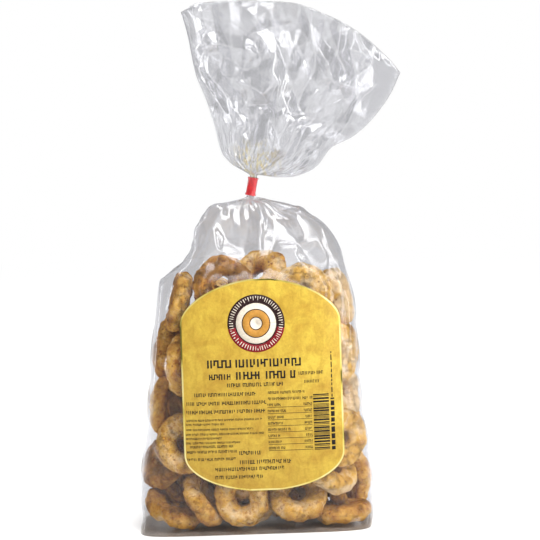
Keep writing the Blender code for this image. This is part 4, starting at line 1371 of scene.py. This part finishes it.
def gap_spots(rings):
    """Places and radii of broken bits that fill the larger gaps between the biscuits, largest first."""
    axis = [np.arange(low, high, BIT_STEP) for low, high in BIT_BOX]
    grid = np.stack(np.meshgrid(*axis, indexing="ij"), axis=-1).reshape(-1, 3)
    room = np.minimum(ring_clearance(grid, rings), BIT_MOST)
    rows = np.array([body_section(z) for z in axis[2]])
    left, right, depth = (np.interp(grid[:, 2], axis[2], rows[:, c]) for c in (0, 1, 2))
    across = (grid[:, 0] - (left + right) / 2) / ((right - left) / 2)
    reach = np.sqrt(np.sqrt(across**4 + (grid[:, 1] / depth) ** 4))
    room = np.minimum(room, (1.0 - reach) * depth - BIT_DEPTH)
    room = np.minimum(room, (grid[:, 2] - BIT_FLOOR) / BIT_FLOOR_ROOM)
    places = rings[0]
    apart = np.abs(grid[:, None, :2] - places[None, :, :2]).max(axis=-1)
    roof = np.where(apart < BIT_COVER, places[None, :, 2], 0.0).max(axis=1)
    room = np.minimum(room, roof - grid[:, 2])
    spots = []
    while len(spots) < BIT_COUNT:
        best = int(np.argmax(room))
        if room[best] < BIT_LEAST:
            break
        spots.append((grid[best], float(room[best])))
        room = np.minimum(room, np.linalg.norm(grid - grid[best], axis=-1) - room[best])
    return spots


def lump(bm, place, radius, rng):
    """One broken bit of biscuit: a dented, angular lump."""
    spin = Quaternion([rng.gauss(0.0, 1.0) for _ in range(4)]).normalized().to_matrix()
    made = bmesh.ops.create_icosphere(bm, subdivisions=3, radius=1.0)["verts"]
    ways = np.array([v.co for v in made])
    flats = [np.array([rng.gauss(0.0, 1.0) for _ in range(3)]) for _ in range(BIT_FLATS)]
    shape = 1.0 + 0.10 * ripple(ways, 1.6, 8, rng) + 0.04 * ripple(ways, 0.6, 8, rng)
    for flat in flats:
        rise = ways @ (flat / math.sqrt(float(flat @ flat)))
        shape = np.where(rise > BIT_CUT, np.minimum(shape, BIT_CUT_TO / np.maximum(rise, BIT_CUT)), shape)
    spun = (ways * BIT_SHAPE) @ np.array(spin).T
    for vert, way, size in zip(made, spun, shape):
        vert.co = (place + way * size * radius) * MM
    return made


def bits_piece(rings, finish, seed):
    """Broken bits in the gaps between the biscuits, as one mesh."""
    rng = random.Random(seed)
    bm = bmesh.new()
    bake, tint = bm.verts.layers.float.new("bake"), bm.verts.layers.float.new("tint")
    for place, radius in gap_spots(rings):
        baked, tone = rng.uniform(*BIT_BAKE), rng.random()
        for vert in lump(bm, place, radius * BIT_GROWTH, rng):
            vert[bake], vert[tint] = baked, tone
    smooth(bm)
    return add_piece("biscuit_bits", bm, [finish], "film_and_biscuits", "bag")


def on_label(x, z, lift):
    """A place on the label's face, raised by lift."""
    spots = zip(x.ravel(), z.ravel())
    depth = np.array([front_depth(float(a), float(b)) for a, b in spots]).reshape(x.shape)
    return np.stack((x, -depth - LABEL_GAP - LABEL_THICKNESS - lift, z), axis=-1)


def label_table():
    """The label's outline as a table of x and height."""
    rows, columns = LABEL_GRID
    share = np.sin(LABEL_END_TURN * np.linspace(-1, 1, rows)) / math.sin(LABEL_END_TURN)
    up = np.clip(LABEL_HEIGHT * (1.0 + share) / 2.0, LABEL_BLUNT_END, LABEL_HEIGHT - LABEL_BLUNT_END)
    halves = np.array([label_half_width(u) for u in up])
    spread = np.sin(LABEL_SPREAD * np.linspace(-1, 1, columns)) / math.sin(LABEL_SPREAD)
    x = LABEL_CENTRE_X + halves[:, None] * spread[None, :]
    return x, (LABEL_LOW + up)[:, None].repeat(columns, axis=1)


def bar(bm, x0, x1, z0, z1):
    """A printed bar on the label."""
    columns = max(2, 1 + int(abs(x1 - x0) / BAR_STEPS[0]))
    rows = max(2, 1 + int((z1 - z0) / BAR_STEPS[1]))
    x, z = np.meshgrid(np.linspace(x0, x1, columns), np.linspace(z0, z1, rows))
    add_patch(bm, on_label(x, z, INK_LIFT))


def disc(bm, inner, outer, start, end, finish, lift):
    """A printed ring of the round mark, or part of one."""
    steps = max(3, int(abs(end - start) / DISC_STEP))
    turns = np.radians(np.linspace(start, end, steps + 1))
    angle, radius = np.meshgrid(turns, np.linspace(inner, outer, 3))
    x, z = MEDALLION[0] + radius * np.cos(angle), MEDALLION[1] + radius * np.sin(angle)
    add_patch(bm, on_label(x, z, lift), finish)


def strokes(bm, x0, x1, z, height, rng, weight):
    """A row of groups of upright strokes and short bars, as dense as small print, that spell nothing."""
    x = x0
    while x < x1 - 0.3 * height:
        end = min(x1, x + height * rng.uniform(*GROUP_LENGTH))
        while x < end:
            low, high = z - height / 2, z + height / 2
            if rng.random() < SHORT_STROKES:
                low += rng.choice((0.0, 0.3)) * height
            bar(bm, x, min(x1, x + weight * height), low, high)
            step = height * rng.uniform(*STROKE_STEP)
            if rng.random() < CROSS_STROKES:
                across = z + height * rng.choice((-0.5, -0.08, 0.5 - weight))
                bar(bm, x, min(x1, x + step), across, across + weight * height)
            x += step
        x = end + GROUP_GAP * height


def print_table(bm, rng):
    """The ruled table: a word at the left and a figure at the right of each row, as strokes."""
    for k in range(TABLE_ROWS):
        z = TABLE_TOP - k * TABLE_STEP
        line = z + TABLE_LIFT
        end = TABLE_LEFT + rng.uniform(*TABLE_WORDS)
        strokes(bm, TABLE_LEFT, end, line, TABLE_WORD_HEIGHT, rng, TEXT_WEIGHT)
        start = TABLE_RIGHT - rng.uniform(*TABLE_FIGURES)
        strokes(bm, start, TABLE_RIGHT, line, TABLE_WORD_HEIGHT, rng, TEXT_WEIGHT)
        bar(bm, TABLE_LEFT, TABLE_RIGHT, z - TABLE_RULE[0], z - TABLE_RULE[1])


def stripes(bm, rng):
    """The block of plain stripes, and the two columns of blocks beside it."""
    x0, x1, z, top = STRIPES
    while z < top:
        thick = rng.choice(STRIPE_THICKNESSES)
        bar(bm, x0, x1, z, min(z + thick, top))
        z += thick + rng.choice(STRIPE_GAPS)
    for x0, x1, z, high in (STRIPE_COLUMN, SIDE_COLUMN):
        while z < high:
            end = min(high, z + rng.uniform(*BLOCK_HEIGHTS))
            bar(bm, x0 + BLOCK_MARGIN, x1 - BLOCK_MARGIN, z, end)
            z = end + BLOCK_GAP


def round_mark(bm, rng):
    """The plain round mark: rings of ink, and short blocks round its rim."""
    r = MEDALLION_RADIUS
    for inner, outer, start, end, finish, lift in MARK_RINGS:
        disc(bm, inner * r if inner else MARK_HOLE, outer * r, start, end, finish, lift)
    turn = 0.0
    while turn < 360.0:
        wide = rng.uniform(*RIM_BLOCKS)
        low = r * rng.choice(RIM_STARTS)
        disc(bm, low, r * RIM_END, turn, turn + wide * 0.5, 2, RIM_LIFT)
        turn += wide + RIM_GAP


def colour_setting(name, description, default):
    """A colour that a user can change."""
    return FloatVectorProperty(
        name=name, description=description, default=default, subtype="COLOR", size=3, min=0.0, max=1.0,
    )


def share_setting(name, description, default):
    """A share from 0 to 1 that a user can change."""
    return FloatProperty(
        name=name, description=description, default=default, min=0.0, max=1.0, subtype="FACTOR",
    )


class FilmSettings(bpy.types.PropertyGroup):
    thickness: FloatProperty(
        name="Thickness", description="Thickness of the film", default=0.0001, min=0.00003, max=0.001,
        subtype="DISTANCE", unit="LENGTH", precision=5,
    )
    tint: colour_setting("Tint", "Light that each face of the film lets through", (0.966, 0.966, 0.975))
    roughness: share_setting("Roughness", "Blur of what the film mirrors", 0.20)
    mirror: share_setting("Mirror", "Share of light that each face mirrors head on", 0.02)
    loose_mirror: share_setting("Loose Mirror", "The same share where the film is loose", 0.09)
    edge_mirror: share_setting("Edge Mirror", "Share that is added where the film turns away", 0.5)


class BiscuitSettings(bpy.types.PropertyGroup):
    pale: colour_setting("Pale Crust", "Colour of the least baked crust", (1.0, 0.755, 0.43))
    golden: colour_setting("Golden Crust", "Colour of the usual crust", (0.88, 0.525, 0.098))
    browned: colour_setting("Browned Crust", "Colour of the most baked crust", (0.56, 0.26, 0.036))
    seed: IntProperty(name="Seed", description="Start of the biscuits' uneven shapes", default=41, min=0)


class LabelSettings(bpy.types.PropertyGroup):
    ground: colour_setting("Ground", "Colour of the label's paper", (0.49, 0.295, 0.030))
    ground_light: colour_setting("Light Ground", "Colour of the paper's light clouds", (0.68, 0.49, 0.060))
    foil: colour_setting("Border Foil", "Colour of the metallic border", (0.58, 0.46, 0.09))
    ink: colour_setting("Ink", "Colour of the printed bars", (0.010, 0.007, 0.005))
    border: FloatProperty(
        name="Border Width", description="Width of the metallic border in millimetres", default=0.85,
        min=0.0, max=5.0,
    )


class TieSettings(bpy.types.PropertyGroup):
    colour: colour_setting("Tape Colour", "Colour of the tape round the neck", (0.55, 0.004, 0.010))


class StageSettings(bpy.types.PropertyGroup):
    floor: colour_setting("Floor", "Colour of the floor", (0.92, 0.92, 0.92))
    key_power: FloatProperty(
        name="Key Power", description="Power of the large front lights", default=17.0, min=0.0,
        subtype="POWER", unit="POWER",
    )
    sun_strength: FloatProperty(
        name="Sun Strength", description="Strength of the broad, even light", default=2.2, min=0.0,
    )


class BISCUITBAG_OT_biscuits(bpy.types.Operator):
    """Fill the bag with settled ring biscuits in three bakes"""

    bl_idname = "biscuit_bag.biscuits"
    bl_label = "Biscuits"

    def execute(self, context):
        settings = context.scene.biscuit_bag_biscuits
        rings = settle_rings()
        pale, golden, browned = (tuple(c) for c in (settings.pale, settings.golden, settings.browned))
        rng = random.Random(settings.seed)
        kinds = [rng.choice("pggb") for _ in range(RING_COUNT)]
        kinds[:len(SHOWN_BAKES_AND_LIGHT)] = SHOWN_BAKES_AND_LIGHT
        template = torus_template()
        for mark, name, shift, coarse in CRUSTS:
            chosen = [k for k in range(RING_COUNT) if kinds[k] == mark]
            finish = biscuit_material(f"crust_{name}", pale, golden, browned, shift, coarse)
            biscuits_piece(f"biscuits_{name}", chosen, rings, template, finish, settings.seed + ord(mark))
        bpy.data.meshes.remove(template)
        bits_piece(rings, biscuit_material("crust_bits", pale, golden, browned, 0.10, 0.8), settings.seed)
        return {"FINISHED"}


class BISCUITBAG_OT_film(bpy.types.Operator):
    """Make the clear film: the body over the biscuits, and the loose fan above the neck"""

    bl_idname = "biscuit_bag.film"
    bl_label = "Film"

    def execute(self, context):
        settings = context.scene.biscuit_bag_film
        finish = film_material(settings)
        body = film_body_places(settle_rings())
        film_piece("film_body", body, finish, settings.thickness)
        seam_piece(body, finish, settings.thickness)
        film_piece("film_fan", film_fan_places(), finish, settings.thickness)
        return {"FINISHED"}


class BISCUITBAG_OT_label(bpy.types.Operator):
    """Make the label's paper with its border"""

    bl_idname = "biscuit_bag.label"
    bl_label = "Label"

    def execute(self, context):
        settings = context.scene.biscuit_bag_label
        x, z = label_table()
        bm = bmesh.new()
        add_patch(bm, on_label(x, z, 0.0))
        bmesh.ops.remove_doubles(bm, verts=bm.verts, dist=WELD)
        inside = bm.verts.layers.float.new("inside")
        for vert, depth in zip(bm.verts, edge_distance(bm)):
            vert[inside] = depth
        label = add_piece("label_sheet", bm, [paper_material(settings)], "label_paper", "label")
        thicken(label, LABEL_THICKNESS * MM)
        return {"FINISHED"}


class BISCUITBAG_OT_print(bpy.types.Operator):
    """Lay the label's printed bars, table, stripes and round mark over its paper"""

    bl_idname = "biscuit_bag.print"
    bl_label = "Print"

    def execute(self, context):
        settings = context.scene.biscuit_bag_label
        rng = random.Random(PRINT_SEED)
        bm = bmesh.new()
        for x0, x1, z, height in TITLE_ROWS:
            strokes(bm, x0, x1, z, height, rng, TITLE_WEIGHT)
        for x0, x1, z, height in TEXT_ROWS:
            strokes(bm, x0, x1, z, height, rng, TEXT_WEIGHT)
        print_table(bm, rng)
        stripes(bm, rng)
        piece = add_piece("label_bars", bm, [ink_material("ink", settings.ink)], "label_paper", "label")
        thicken(piece, INK_DEPTH)
        inks = [ink_material(f"ink_{name}", colour) for name, colour in MARK_INKS]
        bm = bmesh.new()
        round_mark(bm, rng)
        mark = add_piece("label_mark", bm, inks, "label_paper", "label")
        thicken(mark, INK_DEPTH)
        return {"FINISHED"}


class BISCUITBAG_OT_tie(bpy.types.Operator):
    """Wrap the red tape round the neck"""

    bl_idname = "biscuit_bag.tie"
    bl_label = "Neck Tie"

    def execute(self, context):
        settings = context.scene.biscuit_bag_tie
        run = math.dist(NECK_FOOT, NECK_TOP)
        low, high = run * BAND_FOOT_SHARE, run * BAND_TOP_SHARE
        inner = NECK_RADIUS + BAND_CLEARANCE
        outer = inner + BAND_THICKNESS
        profile = [(inner, high)]
        profile += [(outer + swell, high - drop) for swell, drop in TIE_TOP_LIP]
        profile += [(outer - TIE_WAIST, (low + high) / 2)]
        profile += [(outer + swell, low + rise) for swell, rise in TIE_LOW_LIP]
        profile += [(inner, low)]
        bm = bmesh.new()
        points = [bm.verts.new((radius, 0.0, height)) for radius, height in profile]
        for a, b in zip(points, points[1:] + points[:1]):
            bm.edges.new((a, b))
        spin_round(bm, TIE_STEPS, TIE_WELD)
        rng = random.Random(TIE_SEED)
        places = np.array([v.co for v in bm.verts])
        wave = ripple(places * TIE_STRETCH, TIE_WAVELENGTH, 8, rng)
        for vert, push in zip(bm.verts, wave):
            reach = math.hypot(vert.co.x, vert.co.y)
            if reach > inner + 0.1:
                vert.co.x *= 1.0 + TIE_WAVE * push / reach
                vert.co.y *= 1.0 + TIE_WAVE * push / reach
        lean = math.atan2(NECK_TOP[0] - NECK_FOOT[0], NECK_TOP[1] - NECK_FOOT[1])
        lean_over(bm, (0, 1, 0), lean)
        bmesh.ops.translate(bm, verts=bm.verts, vec=(NECK_FOOT[0], 0.0, NECK_FOOT[1]))
        bmesh.ops.scale(bm, verts=bm.verts, vec=(MM, MM, MM))
        bmesh.ops.recalc_face_normals(bm, faces=bm.faces)
        smooth(bm)
        tie = add_piece("neck_tie", bm, [tape_material(settings)], "red_band", "band")
        soften = tie.modifiers.new("soften", "BEVEL")
        soften.width = TIE_ROUNDING
        soften.segments = 2
        soften.limit_method = "ANGLE"
        return {"FINISHED"}


class BISCUITBAG_OT_stage(bpy.types.Operator):
    """Set the floor, the soft lights, the surroundings and the camera"""

    bl_idname = "biscuit_bag.stage"
    bl_label = "Stage"

    def execute(self, context):
        settings = context.scene.biscuit_bag_stage
        scene = context.scene
        bm = bmesh.new()
        bmesh.ops.create_grid(bm, x_segments=8, y_segments=8, size=FLOOR_REACH)
        mesh = bpy.data.meshes.new("floor")
        bm.to_mesh(mesh)
        bm.free()
        floor = bpy.data.objects.new("floor", mesh)
        scene.collection.objects.link(floor)
        n = Nodes("floor_paper")
        tone = n.cloud(60.0, 3.0)
        pale = tuple(settings.floor)
        spread = n.add("ShaderNodeVectorMath", {0: n.where()}, operation="LENGTH").outputs["Value"]
        glow = n.ramp(n.maths("DIVIDE", spread, FLOOR_FADE), (0.25, 0.0), (1.0, 1.0))
        colour = n.ramp(tone, (0.3, tuple(c * 0.985 for c in pale)), (0.7, pale))
        glare = {"Color": (*WHITE, 1.0), "Strength": 1.0}
        white = n.add("ShaderNodeEmission", glare).outputs["Emission"]
        paper = n.shader(colour, 0.75)
        finish = n.finish(n.add("ShaderNodeMixShader", {0: glow, 1: paper, 2: white}).outputs["Shader"])
        mesh.materials.append(finish)
        for name, place, target, size, power in LIGHTS:
            add_light(name, place, target, size, power * settings.key_power)
        sun = bpy.data.lights.new("soft_sun", "SUN")
        sun.energy = settings.sun_strength
        sun.angle = math.radians(SUN_SPREAD)
        high = bpy.data.objects.new("soft_sun", sun)
        high.rotation_euler = [math.radians(turn) for turn in SUN_TURN]
        scene.collection.objects.link(high)
        add_world()
        add_camera()
        scene.view_settings.view_transform = "Standard"
        scene.cycles.transparent_max_bounces = FILM_BOUNCES
        return {"FINISHED"}


class BISCUITBAG_PT_panel(bpy.types.Panel):
    """Lists the pieces of the bag and their settings"""

    bl_idname = "BISCUITBAG_PT_panel"
    bl_label = "Biscuit Bag"
    bl_space_type = "VIEW_3D"
    bl_region_type = "UI"
    bl_category = "Biscuit Bag"

    def draw(self, context):
        layout = self.layout
        for title, setting, names, operators in PANEL_ROWS:
            box = layout.box()
            box.label(text=title)
            for name in names:
                box.prop(getattr(context.scene, setting), name)
            for operator in operators:
                box.operator(operator.bl_idname)


def add_light(name, place, target, size, power):
    """A soft rectangular light aimed at a point."""
    data = bpy.data.lights.new(name, "AREA")
    data.shape = "RECTANGLE"
    data.size, data.size_y = size
    data.energy = power
    light = bpy.data.objects.new(name, data)
    light.location = place
    light.rotation_euler = (Vector(target) - Vector(place)).to_track_quat("-Z", "Y").to_euler()
    light.visible_camera = False
    bpy.context.scene.collection.objects.link(light)


def add_world():
    """Pale surroundings for the eye, greyer ones in what the film mirrors."""
    world = bpy.data.worlds.new("studio")
    bpy.context.scene.world = world
    world.use_nodes = True
    tree = world.node_tree
    tree.nodes.clear()
    path = tree.nodes.new("ShaderNodeLightPath")
    seen, around = tree.nodes.new("ShaderNodeBackground"), tree.nodes.new("ShaderNodeBackground")
    seen.inputs["Color"].default_value = (1.0, 1.0, 1.0, 1.0)
    seen.inputs["Strength"].default_value = 1.0
    around.inputs["Color"].default_value = (0.97, 0.98, 1.0, 1.0)
    around.inputs["Strength"].default_value = SKY_STRENGTH
    mix, out = tree.nodes.new("ShaderNodeMixShader"), tree.nodes.new("ShaderNodeOutputWorld")
    tree.links.new(path.outputs["Is Camera Ray"], mix.inputs[0])
    tree.links.new(around.outputs[0], mix.inputs[1])
    tree.links.new(seen.outputs[0], mix.inputs[2])
    tree.links.new(mix.outputs[0], out.inputs["Surface"])


def add_camera():
    """The camera at the photograph's angle."""
    data = bpy.data.cameras.new("camera")
    data.lens = CAMERA_LENS
    data.clip_start, data.clip_end = 0.05, 50.0
    camera = bpy.data.objects.new("camera", data)
    rise = math.radians(CAMERA_ELEVATION)
    target = Vector(CAMERA_TARGET)
    camera.location = target + CAMERA_DISTANCE * Vector((0.0, -math.cos(rise), math.sin(rise)))
    aim = (target - camera.location).to_track_quat("-Z", "Y")
    camera.rotation_mode = "QUATERNION"
    camera.rotation_quaternion = aim @ Quaternion((0, 0, 1), math.radians(CAMERA_ROLL))
    bpy.context.scene.collection.objects.link(camera)
    bpy.context.scene.camera = camera


def edge_distance(bm):
    """How far inside the label's outline each point of its mesh is, in millimetres."""
    x = np.array([v.co.x for v in bm.verts]) / MM
    z = np.array([v.co.z for v in bm.verts]) / MM
    rim = np.array([v.co[:] for v in bm.verts if v.is_boundary]) / MM
    squares = (x[:, None] - rim[None, :, 0]) ** 2 + (z[:, None] - rim[None, :, 2]) ** 2
    return np.sqrt(squares.min(axis=1))


def tape_material(settings):
    """Glossy red tape with painted shade in its folds."""
    n = Nodes("red_tape")
    folds = n.cloud(1.6, 3.0, 0.6, n.where((1.0, 1.0, 0.4)))
    red = tuple(settings.colour)
    # Painted shade: the red is darker where the folds' bump sinks
    colour = n.ramp(folds, (0.3, tuple(c * 0.55 for c in red)), (0.6, red))
    normal = n.bump(folds, 0.12, 0.6)
    return n.finish(n.shader(colour, 0.28, normal, Coat_Weight=0.5, Coat_Roughness=0.12))


# Tie: swell and drop of its two lips, waist, mesh and folds
TIE_TOP_LIP = ((0.30, 0.0), (0.36, 0.3), (0.12, 0.8), (0.0, 1.4))
TIE_LOW_LIP = ((0.0, 1.6), (0.14, 1.0), (0.38, 0.35), (0.30, 0.0))
TIE_WAIST = 0.05
TIE_STEPS = 64
TIE_WELD = 0.005
TIE_SEED = 3
TIE_STRETCH = (1.0, 1.0, 0.35)
TIE_WAVELENGTH = 2.2
TIE_WAVE = 0.07
TIE_ROUNDING = 0.00008

# Stage, bakes (partly painted light), inks and lights: each light's place, target, size and share of the
# key power
FLOOR_REACH = 40.0
FLOOR_FADE = 1.6
SUN_SPREAD = 40.0
SUN_TURN = (32.0, 0.0, 18.0)
SKY_STRENGTH = 0.45
FILM_BOUNCES = 48
# Bakes of the placed rings, partly painted light: most rings on the right, where the lamps fall brightest,
# get the pale crust
SHOWN_BAKES_AND_LIGHT = list("gggggbggggpggppppppbgp")
CRUSTS = (("p", "pale", -0.28, 0.35), ("g", "golden", 0.03, 0.75), ("b", "browned", 0.12, 0.85))
MARK_INKS = (
    ("dark", (0.020, 0.006, 0.006)),
    ("red", (0.17, 0.005, 0.010)),
    ("cream", (0.62, 0.55, 0.45)),
    ("tan", (0.42, 0.20, 0.035)),
)
LIGHTS = (
    ("key_left", (-0.75, -1.0, 0.55), (0.0, 0.0, 0.14), (0.30, 0.9), 0.06),
    ("key_right", (0.85, -0.9, 0.60), (0.0, 0.0, 0.14), (0.50, 0.9), 0.46),
    ("top", (0.0, 0.1, 1.25), (0.0, 0.0, 0.1), (0.6, 0.4), 0.38),
    ("strip_left", (-0.9, 0.35, 0.45), (0.0, 0.0, 0.2), (0.12, 0.9), 0.12),
    ("strip_right", (1.0, -0.12, 0.45), (0.0, 0.0, 0.2), (0.16, 0.9), 0.20),
)
CLASSES = (
    FilmSettings, BiscuitSettings, LabelSettings, TieSettings, StageSettings,
    BISCUITBAG_OT_biscuits, BISCUITBAG_OT_film, BISCUITBAG_OT_label, BISCUITBAG_OT_print, BISCUITBAG_OT_tie,
    BISCUITBAG_OT_stage, BISCUITBAG_PT_panel,
)
SETTINGS = {
    "biscuit_bag_film": FilmSettings,
    "biscuit_bag_biscuits": BiscuitSettings,
    "biscuit_bag_label": LabelSettings,
    "biscuit_bag_tie": TieSettings,
    "biscuit_bag_stage": StageSettings,
}
PANEL_ROWS = (
    ("Biscuits", "biscuit_bag_biscuits", ("pale", "golden", "browned", "seed"), (BISCUITBAG_OT_biscuits,)),
    ("Film", "biscuit_bag_film",
     ("thickness", "tint", "roughness", "mirror", "loose_mirror", "edge_mirror"),
     (BISCUITBAG_OT_film,)),
    ("Label", "biscuit_bag_label", ("ground", "ground_light", "foil", "ink", "border"),
     (BISCUITBAG_OT_label, BISCUITBAG_OT_print)),
    ("Neck Tie", "biscuit_bag_tie", ("colour",), (BISCUITBAG_OT_tie,)),
    ("Stage", "biscuit_bag_stage", ("floor", "key_power", "sun_strength"), (BISCUITBAG_OT_stage,)),
)


def register():
    for cls in CLASSES:
        bpy.utils.register_class(cls)
    for name, group in SETTINGS.items():
        setattr(bpy.types.Scene, name, PointerProperty(type=group))


def unregister():
    for name in SETTINGS:
        delattr(bpy.types.Scene, name)
    for cls in reversed(CLASSES):
        bpy.utils.unregister_class(cls)


def main():
    """Registers the add-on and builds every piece."""
    register()
    bpy.ops.biscuit_bag.biscuits()
    bpy.ops.biscuit_bag.film()
    bpy.ops.biscuit_bag.label()
    bpy.ops.biscuit_bag.print()
    bpy.ops.biscuit_bag.tie()
    bpy.ops.biscuit_bag.stage()


if __name__ == "__main__":
    main()
